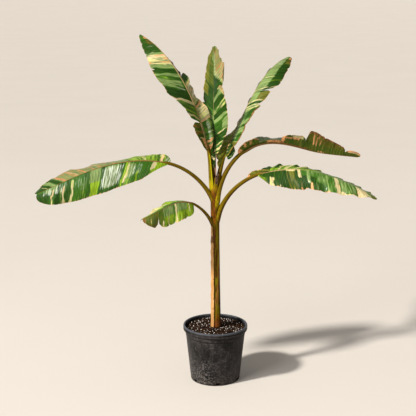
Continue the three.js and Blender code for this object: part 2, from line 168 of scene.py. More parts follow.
class Finish:
    """A material, and the one method that makes its nodes."""

    def __init__(self, name, **constants):
        self.material = bpy.data.materials.new(name)
        self.material.use_nodes = True
        self.tree = self.material.node_tree
        self.tree.nodes.clear()
        self.shader = self.tree.nodes.new("ShaderNodeBsdfPrincipled")
        output = self.tree.nodes.new("ShaderNodeOutputMaterial")
        self.tree.links.new(self.shader.outputs[0], output.inputs["Surface"])
        for socket, value in constants.items():
            self.shader.inputs[socket.replace("_", " ")].default_value = value

    def join(self, socket, value):
        if isinstance(value, Field):
            self.tree.links.new(value.socket, socket)
        elif isinstance(value, tuple) and len(value) == 3 and socket.type == "RGBA":
            socket.default_value = (*value, 1)
        else:
            socket.default_value = value

    def node(self, kind, settings=None, values=None, out=0):
        made = self.tree.nodes.new(kind)
        for key, value in (settings or {}).items():
            setattr(made, key, value)
        for key, value in (values or {}).items():
            self.join(made.inputs[key], value)
        return Field(self, made.outputs[out])

    def places(self):
        return self.node("ShaderNodeTexCoord", out="Object")

    def attribute(self, name):
        return self.node("ShaderNodeAttribute", {"attribute_name": name}, out="Fac")

    def stretched(self, vector, scales):
        return self.node("ShaderNodeVectorMath", {"operation": "MULTIPLY"}, {0: vector, 1: scales})

    def noise(self, vector, scale, detail=3.0, roughness=0.55):
        return self.node(
            "ShaderNodeTexNoise",
            None,
            {"Vector": vector, "Scale": scale, "Detail": detail, "Roughness": roughness},
        )

    def mix(self, amount, first, second):
        return self.node(
            "ShaderNodeMix",
            {"data_type": "RGBA"},
            {0: amount, 6: first, 7: second},
            out=2,
        )

    def part(self, place, axis):
        """One number of a place: 0 across, 1 away, 2 up."""
        return self.node("ShaderNodeSeparateXYZ", None, {0: place}, out=axis)

    def coats(self, colour, colours, *layers):
        """Lays colours over one another; a layer is (how much, which)."""
        for amount, name in layers:
            colour = self.mix(amount, colour, colours[name])
        return colour

    def shade(self, colour, amount):
        """A colour times a value."""
        return self.node("ShaderNodeVectorMath", {"operation": "SCALE"}, {0: colour, "Scale": amount})

    def finish(self, colour, roughness, height=None, depth=1.0, strength=1.0, coat=None):
        self.join(self.shader.inputs["Base Color"], colour)
        self.join(self.shader.inputs["Roughness"], roughness)
        if coat is not None:
            self.join(self.shader.inputs["Coat Weight"], coat)
        if height is not None:
            bump = self.node(
                "ShaderNodeBump",
                None,
                {"Height": height, "Distance": depth, "Strength": strength},
            )
            self.join(self.shader.inputs["Normal"], bump)
        print("finish", self.material.name, len(self.tree.nodes), "nodes")
        return self.material


# %% [markdown]
# ## Small tools for meshes
#
# Most pieces of a plant are rings set along a path and skinned: a stalk is
# round rings, and half a leaf is thin flat ones. The skin closes both ends,
# and turns itself the right way round by the sign of its volume. A piece
# carries named values at its points, and its finish reads them.

# %% Meshes from arrays
def skinned(rings):
    """Quads round a stack of closed rings [rows, points, 3], ends closed."""
    rows, count = rings.shape[:2]
    index, following = ringed(rows, count)
    sides = np.stack([index[:-1], following[:-1], following[1:], index[1:]], -1)
    i = np.arange(count // 2 - 1)
    foot = np.stack([i, count - 1 - i, count - 2 - i, i + 1], -1)
    top = np.stack([i, i + 1, count - 2 - i, count - 1 - i], -1)
    faces = np.vstack([sides.reshape(-1, 4), foot, top + (rows - 1) * count])
    points = rings.reshape(-1, 3)
    centre = points.mean(0)
    a, b, c, d = (points[faces[:, k]] - centre for k in range(4))
    volume = (a * np.cross(b, c)).sum() + (a * np.cross(c, d)).sum()
    return points, faces if volume > 0 else faces[:, ::-1]


class Sheaf:
    """Several skins gathered into one mesh, with values at their points."""

    def __init__(self):
        self.points, self.faces, self.values, self.total = [], [], {}, 0

    def add(self, points, faces, **values):
        self.faces.append(np.asarray(faces) + self.total)
        self.points.append(points)
        for name, value in values.items():
            whole = np.broadcast_to(np.asarray(value, float), (len(points),))
            self.values.setdefault(name, []).append(whole)
        self.total += len(points)

    def mesh(self, name, sharp=40.0):
        faces = [face.tolist() for stack in self.faces for face in stack]
        made = meshed(name, np.vstack(self.points), faces)
        for key, stacks in self.values.items():
            store(made, key, np.concatenate(stacks))
        made.shade_smooth()
        made.set_sharp_from_angle(angle=math.radians(sharp))
        return made


def meshed(name, points, faces):
    mesh = bpy.data.meshes.new(name)
    mesh.from_pydata(points.tolist(), [], faces)
    return mesh


def ringed(rows, count):
    """The numbers of points set in rings, and of the point after each."""
    index = np.arange(rows * count).reshape(rows, count)
    return index, np.roll(index, -1, 1)


def round_points(radii, heights, count):
    """Rings of points, one for each radius and height."""
    turn = np.linspace(0, 2 * math.pi, count, endpoint=False)
    x, y = np.outer(radii, np.cos(turn)), np.outer(radii, np.sin(turn))
    z = np.repeat(np.asarray(heights)[:, None], count, 1)
    return np.stack([x, y, z], -1).reshape(-1, 3)


def round_sheet(name, radii, heights, count, middle_filled):
    """A round sheet that faces up."""
    index, following = ringed(len(radii), count)
    faces = np.stack([index[:-1], index[1:], following[1:], following[:-1]], -1)
    middle = [index[0].tolist()] if middle_filled else []
    points = round_points(radii, heights, count)
    return meshed(name, points, faces.reshape(-1, 4).tolist() + middle)


def store(mesh, name, values):
    """Keeps one number for each point of a mesh under a name."""
    kept = mesh.attributes.new(name, "FLOAT", "POINT")
    kept.data.foreach_set("value", np.asarray(values, np.float32))


def lay_out(mesh, name, across, along):
    """Keeps two numbers for each point as a flat map of the surface."""
    flat = np.stack([across, along], -1).astype(np.float32)
    corners = np.empty(len(mesh.loops), np.int32)
    mesh.loops.foreach_get("vertex_index", corners)
    layer = mesh.uv_layers.new(name=name)
    layer.data.foreach_set("uv", flat[corners].ravel())


def placed(name, mesh, material, nodes=()):
    """Puts a finished mesh on the plant's body, in place of CAD nodes."""
    mesh.materials.clear()
    mesh.materials.append(material)
    piece = put(name, mesh)
    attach(piece, BODY)
    if nodes:
        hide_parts(*nodes)
    print(name, len(mesh.polygons), "faces")
    return piece


# %% [markdown]
# ## A tree of nodes for shapes
#
# Geometry Nodes make what repeats, such as the grains of the mix, and what
# follows a path, such as a leaf's stalk. Each tree gets named inputs. The
# helper sets them by their identifiers before the tree first runs, and then
# keeps the result as a plain mesh.

# %% Geometry Nodes helpers
def settled(thing):
    """What an object's modifiers make of it, as a plain mesh."""
    bpy.context.view_layer.update()
    graph = bpy.context.evaluated_depsgraph_get()
    return bpy.data.meshes.new_from_object(thing.evaluated_get(graph))


class Shaper:
    """A Geometry Nodes tree with named inputs."""

    def __init__(self, name, inputs):
        self.tree = bpy.data.node_groups.new(name, "GeometryNodeTree")
        face = self.tree.interface
        face.new_socket("Geometry", in_out="INPUT", socket_type="NodeSocketGeometry")
        face.new_socket("Geometry", in_out="OUTPUT", socket_type="NodeSocketGeometry")
        self.identifiers = {}
        for key, kind in inputs.items():
            made = face.new_socket(key, in_out="INPUT", socket_type="NodeSocket" + kind)
            self.identifiers[key] = made.identifier
        self.entry = self.tree.nodes.new("NodeGroupInput")
        self.exit = self.tree.nodes.new("NodeGroupOutput")

    def node(self, kind, settings=None, values=None, out=0):
        made = self.tree.nodes.new(kind)
        for key, value in (settings or {}).items():
            setattr(made, key, value)
        for key, value in (values or {}).items():
            if isinstance(value, bpy.types.NodeSocket):
                self.tree.links.new(value, made.inputs[key])
            else:
                made.inputs[key].default_value = value
        return made.outputs[out]

    def sum_node(self, operation, first, second=0.0):
        return self.node("ShaderNodeMath", {"operation": operation}, {0: first, 1: second})

    def given(self, key):
        return self.entry.outputs[key]

    def end(self, geometry):
        real = self.node("GeometryNodeRealizeInstances", None, {0: geometry})
        set_material = self.node(
            "GeometryNodeSetMaterial",
            None,
            {"Geometry": real, "Material": self.given("Material")},
        )
        self.tree.links.new(set_material, self.exit.inputs[0])

    def grown(self, name, mesh, **inputs):
        """The tree's result on a mesh, as a plain mesh."""
        carrier = put(name, mesh)
        modifier = carrier.modifiers.new(name, "NODES")
        modifier.node_group = self.tree
        for key, value in inputs.items():
            modifier[self.identifiers[key.replace("_", " ")]] = value
        carrier.update_tag()
        made = settled(carrier)
        carrier.modifiers.clear()
        bpy.data.objects.remove(carrier)
        made.name = name
        print(name, "grown:", len(made.vertices), "points")
        return made


# %% [markdown]
# ## The leaves' rule
#
# A banana leaf is a stalk and a blade along one smooth path. The path leaves
# the stem on a bearing, and its slope changes along it. Each half of the
# blade hangs from the midrib at its own angle, bends on the way to its
# margin, and its veins lean forward. Wind tears a half along its veins, so
# each stretch between two tears is a flap with a reach and an angle of its
# own. The table has one entry for each leaf, in millimetres and degrees.
# A flap is [end, reach at its start, reach at its end, extra set, extra
# curl, depth of the tear after it].

# %% The leaves' sizes
LEAVES = {
    "upper_left": {
        "bearing": 150, "foot": [-12, -1, 850.3], "stalk": 155, "blade": 600,
        "stalk_rise": [81, 85, 79], "blade_rise": [73, 68, 57, 44, 24], "radii": [12, 8.5, 3],
        "broadest": 0.45, "base_round": 1.7, "tip_round": 1.5,
        "left": {
            "width": 112, "ripple": 5, "waves": 5,
            "set": [25, 12, -22, -48, 0], "curl": [-20, -20],
            "lean": [0, 20, 30, 35, 40],
            "flaps": [
                [0.2, 1.15, 0.62, -12, 0, 0.2], [0.335, 1.3, 1.25, 4, 0, 0.12],
                [0.42, 1.32, 1.08, 0, 0, 0], [1, 1.08, 0.97, 0, 0, 0],
            ],
        },
        "right": {
            "width": 78, "ripple": 3, "waves": 5,
            "set": [40, 36, 20, -10, -6, -20, -23, -20, -12], "curl": [0, 0],
            "lean": [0, 20, 30, 35, 40],
            "flaps": [
                [0.46, 1.02, 0.85, 0, 0, 0.8], [0.555, 0.75, 0.8, 10, 0, 0.5], [1, 0.8, 0.9, -4, 0, 0],
            ],
        },
    },
    "centre": {
        "bearing": 92, "foot": [-5, 17, 850.3], "stalk": 127, "blade": 463,
        "stalk_rise": [87, 82, 80], "blade_rise": [79, 78, 78, 78, 78], "radii": [8, 6.5, 2.6],
        "broadest": 0.4, "base_round": 2, "tip_round": 1.6,
        "left": {
            "width": 95, "ripple": 3, "waves": 4,
            "set": [0, -42, -58, -54, -70], "curl": [0, 0],
            "lean": [20, 25, 35, 45, 55],
        },
        "right": {
            "width": 98, "ripple": 3, "waves": 4,
            "set": [50, 45, 62, 55, 45], "curl": [0, 0],
            "lean": [20, 25, 35, 45, 55],
            "flaps": [[0.56, 1, 0.93, 0, 0, 0.3], [1, 1.45, 0.95, -50, 100, 0]],
        },
    },
    "upper_right": {
        "bearing": 35, "foot": [6, 10, 850.3], "stalk": 127, "blade": 550,
        "stalk_rise": [78, 76, 70], "blade_rise": [62, 58, 57, 43, 16], "radii": [10.5, 8.5, 2.8],
        "broadest": 0.5, "base_round": 2, "tip_round": 1.8,
        "left": {
            "width": 78, "ripple": 4, "waves": 7,
            "set": [80, -20, -30, -27, -20], "curl": [-10, -10],
            "lean": [-60, 0, 25, 40, 50],
            "flaps": [[0.12, 1.75, 0.8, 0, 0, 0], [0.3, 0.8, 1, 0, 0, 0], [1, 1, 1, 0, 0, 0]],
        },
        "right": {
            "width": 100, "ripple": 4, "waves": 4,
            "set": [0, 20, 15, -10, -5], "curl": [0, -20, -60, -70, -60],
            "lean": [-10, 20, 30, 40, 55],
            "flaps": [
                [0.42, 0.8, 0.96, 0, 0, 0.2], [0.55, 0.85, 0.95, 0, 0, 0.3], [1, 1.12, 1, 0, 0, 0],
            ],
        },
    },
    "arching_right": {
        "bearing": 20, "foot": [6, -9, 795], "stalk": 221, "blade": 595,
        "stalk_rise": [83, 63, 39], "blade_rise": [40, -2, -17, -9, -8], "radii": [11, 8.5, 3],
        "broadest": 0.45, "base_round": 2.2, "tip_round": 1.7,
        "left": {
            "width": 90, "ripple": 5, "waves": 6,
            "set": [15, 20, 24, 20, 20], "curl": [-20, -20],
            "lean": [0, 15, 25, 25, 40],
        },
        "right": {
            "width": 100, "ripple": 3, "waves": 4,
            "set": [60, 65, 65, 75, 60], "curl": [0, 0],
            "lean": [-20, 0, -8, 5, 30],
            "flaps": [
                [0.17, 0.85, 0.4, 0, 0, 0.8], [0.33, 0.2, 0.2, -20, 0, 0.3],
                [0.52, 0.44, 0.62, 0, 0, 0.4], [0.537, 0.62, 0.88, 10, 0, 0], [0.6, 0.88, 0.90, 10, 0, 0],
                [0.86, 0.90, 0.6, 10, 0, 0.4], [1, 0.5, 0.9, 0, 0, 0],
            ],
        },
    },
    "lower_right": {
        "bearing": -18, "foot": [8, -3, 723], "stalk": 270, "blade": 515,
        "stalk_rise": [74, 48, 22], "blade_rise": [21, 5, -12, -21, -30], "radii": [11.5, 8.5, 2.6],
        "broadest": 0.4, "base_round": 2, "tip_round": 1.5,
        "left": {
            "width": 100, "ripple": 5, "waves": 6, "ruffle": 3,
            "set": [30, 8, -2, 0, 5], "curl": [-20, -20],
            "lean": [-10, 15, 25, 35, 50],
        },
        "right": {
            "width": 100, "ripple": 6, "waves": 7, "ruffle": 0.6, "frayed": 0.4,
            "set": [-20, -45, -32, -20, 10], "curl": [-25, -25],
            "lean": [-10, 15, 25, 35, 50],
            "flaps": [
                [0.1, 0.55, 1.03, 0, 0, 0], [0.35, 1.03, 0.98, 0, 0, 0], [0.39, 0.98, 0.84, 0, 0, 0],
                [0.45, 0.84, 0.95, 0, 0, 0], [1, 0.95, 1, 0, 0, 0],
            ],
        },
    },
    "broad_left": {
        "bearing": 195, "foot": [-10, -3, 797], "stalk": 255, "blade": 570,
        "stalk_rise": [64, 42, 17], "blade_rise": [16, -1, -14, -22, -22], "radii": [10, 7.5, 3],
        "broadest": 0.42, "base_round": 2, "tip_round": 2,
        "left": {
            "width": 121, "ripple": 4, "waves": 5, "ruffle": 0.4, "frayed": 0.3,
            "set": [-20, -42, -52, -52, -40], "curl": [-40, -40],
            "lean": [10, 25, 25, 30, 35],
            "flaps": [[0.16, 0.3, 1, 0, 0, 0], [0.5, 1, 0.97, 0, 0, 0], [1, 0.97, 1, 0, 0, 0]],
        },
        "right": {
            "width": 120, "ripple": 3, "waves": 5, "ruffle": 0.6, "frayed": 0.4,
            "set": [42, 6, 8, 20, 12], "curl": [-20, -20],
            "lean": [-25, 5, 20, 25, 30],
        },
    },
    "old_lower_left": {
        "bearing": 215, "foot": [-9, -4, 683], "stalk": 155, "blade": 255,
        "stalk_rise": [66, 47, 28], "blade_rise": [28, 0, -17, -18, -16], "radii": [7.5, 5.5, 2],
        "broadest": 0.4, "base_round": 2.4, "tip_round": 1.8,
        "left": {
            "width": 82, "ripple": 3, "waves": 4,
            "set": [-45, -50, -60, -55, -10], "curl": [-25, -25],
            "lean": [-20, 10, 20, 25, 40],
            "flaps": [[0.7, 1, 1, 0, 0, 0.45], [1, 1, 1, 0, 0, 0]],
        },
        "right": {
            "width": 75, "ripple": 3, "waves": 4,
            "set": [5, 2, -2, -10, -15], "curl": [-20, -20],
            "lean": [-20, 10, 20, 25, 40],
        },
    },
}
WHOLE_HALF = [[1, 1, 1, 0, 0, 0]]
print(len(LEAVES), "leaves")

# %% [markdown]
# ## From the table to points
#
# The same few functions serve every leaf. `keyed` draws a smooth curve
# through evenly spaced numbers, `outline` gives the blade's width, and
# `walk` follows a path. They are the frame's own rule, so the fine leaves
# lie where their solids lie.

# %% Curves and paths
def keyed(keys, x):
    """A smooth curve through evenly spaced keys, for x from 0 to 1."""
    keys = np.asarray(keys, float)
    last = len(keys) - 1
    place = np.clip(x, 0, 1) * last
    i = np.minimum(np.floor(place).astype(int), last - 1)
    f = place - i
    order = np.arange(last + 1)
    before, after = np.maximum(order - 1, 0), np.minimum(order + 1, last)
    slope = (keys[after] - keys[before]) / (after - before)
    cube, square = f**3, f**2
    return (
        (2 * cube - 3 * square + 1) * keys[i]
        + (cube - 2 * square + f) * slope[i]
        + (3 * square - 2 * cube) * keys[i + 1]
        + (cube - square) * slope[i + 1]
    )


def quarter(x, roundness):
    return (1 - (1 - np.clip(x, 0, 1)) ** roundness) ** (1 / roundness)


def outline(leaf, t):
    """Half-width of a blade at t along it, as a share of its broadest."""
    b = leaf["broadest"]
    return np.where(
        t < b,
        quarter(t / b, leaf["base_round"]),
        quarter((1 - t) / (1 - b), leaf["tip_round"]),
    )


PATH_STEPS = 400


def walk(start, bearing, rises, length, t):
    """Points and directions at t along a path with a bearing and slopes."""
    turn = math.radians(bearing)
    heading = np.array([math.cos(turn), math.sin(turn), 0.0])
    left = np.array([-math.sin(turn), math.cos(turn), 0.0])
    upright = np.array([0.0, 0.0, 1.0])
    slope = np.radians(keyed(rises, (np.arange(PATH_STEPS) + 0.5) / PATH_STEPS))
    steps = np.outer(np.cos(slope), heading) + np.outer(np.sin(slope), upright)
    route = np.vstack([start, start + np.cumsum(steps, 0) * length / PATH_STEPS])
    at = np.clip(t, 0, 1) * PATH_STEPS
    order = np.arange(PATH_STEPS + 1)
    point = np.stack([np.interp(at, order, route[:, k]) for k in range(3)], -1)
    slope = np.radians(keyed(rises, t))
    forward = np.outer(np.cos(slope), heading) + np.outer(np.sin(slope), upright)
    up = np.cross(forward, left)
    return point, forward, np.broadcast_to(left, forward.shape), up


def stalk_path(leaf, t):
    foot = np.array(leaf["foot"], float)
    return walk(foot, leaf["bearing"], leaf["stalk_rise"], leaf["stalk"], t)


def blade_path(leaf, t):
    start = stalk_path(leaf, np.array([1.0]))[0][0]
    return walk(start, leaf["bearing"], leaf["blade_rise"], leaf["blade"], t)


for name, leaf in LEAVES.items():
    end = blade_path(leaf, np.array([1.0]))[0][0]
    print(name, "ends at", end.round().tolist())

# %% [markdown]
# ## Half a blade
#
# The half is built flap by flap. Each flap is one thin closed skin, so a
# torn half really is torn: two flaps part along a vein, and the slit opens
# towards the margin. Small nicks and a gentle flutter break the margin, and
# the lamina rises and falls between its main veins. A leaf is about half a
# millimetre thick; here it has a little more, so that its edge holds light.

# %% Half a blade, flap by flap
LEAF_THICK, THINNING = 0.9, 0.5  # at the midrib, and the share lost at the margin
ROW_PITCH = 2.7  # along the blade
COLUMNS = 13  # from midrib to margin
BLADE_START, BLADE_END = 0.004, 0.997  # a hair inside the outline's two points
MARGIN_LEAST = 0.6
SLIT_OPEN = 4.0  # how far a tear's two sides part at the margin
CORNER = 10.0  # how far a flap's corner is rounded
CORNER_CUT = 0.2  # how much of the reach it loses there
VEIN_PITCH = 11.0
VEIN_RISE = 0.35
NICKS = 9  # small nicks in each half's margin
NICK_PLACES = (0.12, 0.95)
NICK_DEPTHS = (0.02, 0.09)  # shares of the reach
NICK_WIDTHS = (1.5, 5.0)
SLIT_REACH = 25.0  # how far from a tear its sides are moved
FLUTTER = [(83, 1.6), (47, 1.1), (29, 0.7), (17, 0.4)]  # length and height of a wave
FLUTTER_NARROW = 60  # where the half is narrower, it flutters less


def half_points(leaf, half, side, rng):
    """The flaps of one half, each as (rings, t, u, face, width)."""
    flaps = half.get("flaps") or WHOLE_HALF
    length = leaf["blade"]
    stretches, keys, start = [], [], 0.0
    for k, (end, reach_start, reach_end, lift, curl, tear) in enumerate(flaps):
        keys.append((start, reach_start, lift, curl))
        keys.append((end, reach_end, lift, curl))
        if tear > 0 or k == len(flaps) - 1:
            before = stretches[-1][2] if stretches else 0.0
            stretches.append((np.array(keys), before, tear))
            keys = []
        start = end
    nick_at = rng.uniform(*NICK_PLACES, NICKS)
    nick_deep = rng.uniform(*NICK_DEPTHS, NICKS) * half.get("frayed", 1.0)
    nick_wide = rng.uniform(*NICK_WIDTHS, NICKS) / length
    flutter_turn = rng.uniform(0, 2 * math.pi, len(FLUTTER))
    made = []
    for keys, tear_before, tear_after in stretches:
        first, last = keys[0, 0], keys[-1, 0]
        rows = max(5, int((last - first) * length / ROW_PITCH))
        t = np.linspace(max(first, BLADE_START), min(last, BLADE_END), rows)
        reach, lift, fold = (np.interp(t, keys[:, 0], keys[:, c]) for c in (1, 2, 3))
        for place, deep, wide in zip(nick_at, nick_deep, nick_wide):
            reach = reach * (1 - deep * np.exp(-(((t - place) / wide) ** 2)))
        from_tears = [(tear_before, t - first, 1), (tear_after, last - t, -1)]
        for tear, away, _ in from_tears:
            if tear > 0:
                reach = reach * (1 - CORNER_CUT * np.exp(-((away * length / CORNER) ** 2)))
        flutter = sum(
            np.sin(t * length / pitch * 2 * math.pi + turn) * size
            for (pitch, size), turn in zip(FLUTTER, flutter_turn)
        )
        point, forward, left, up = blade_path(leaf, t)
        width = np.maximum(half["width"] * outline(leaf, t) * reach, MARGIN_LEAST)
        stand = keyed(half["set"], t) + lift
        bend = keyed(half["curl"], t) + fold
        lean = np.radians(keyed(half["lean"], t))
        ripple = half["ripple"] * np.sin(2 * math.pi * half["waves"] * t)
        ripple = ripple + flutter * half.get("ruffle", 1.0)
        ripple = ripple * np.minimum(1, width / FLUTTER_NARROW)
        veins = VEIN_RISE * np.sin(2 * math.pi * t * length / VEIN_PITCH)
        upper, lower = [], []
        place = point.copy()
        for j in range(COLUMNS + 1):
            u = j / COLUMNS
            angle = np.radians(stand + bend * u)[:, None]
            normal = up * np.cos(angle) - side * left * np.sin(angle)
            rise = ripple * u * u + veins * min(1, 4 * u) * (1.1 - u)
            thick = LEAF_THICK * (1 - THINNING * u) / 2
            open_by = np.zeros_like(t)
            for tear, away, way in from_tears:
                if tear > 0:
                    part = max(0.0, (u - 1 + tear) / tear)
                    open_by = open_by + way * part * np.exp(-away * length / SLIT_REACH)
            here = place + forward * (SLIT_OPEN * open_by)[:, None]
            upper.append(here + normal * (rise + thick)[:, None])
            lower.insert(0, here + normal * (rise - thick)[:, None])
            angle = np.radians(stand + bend * (u + 0.5 / COLUMNS))[:, None]
            across = side * left * np.cos(angle) + up * np.sin(angle)
            step = (width / COLUMNS)[:, None]
            place = place + across * np.cos(lean)[:, None] * step
            place = place + forward * np.sin(lean)[:, None] * step
        rings = np.stack(upper + lower, 1)
        u = np.linspace(0, 1, COLUMNS + 1)
        u = np.concatenate([u, u[::-1]])
        face = np.concatenate([np.ones(COLUMNS + 1), np.zeros(COLUMNS + 1)])
        t_there, width_there = np.repeat(t, len(u)), np.repeat(width, len(u))
        made.append((rings, t_there, np.tile(u, len(t)), np.tile(face, len(t)), width_there))
    return made


print("half a blade:", COLUMNS, "columns, and a row every", ROW_PITCH, "mm")
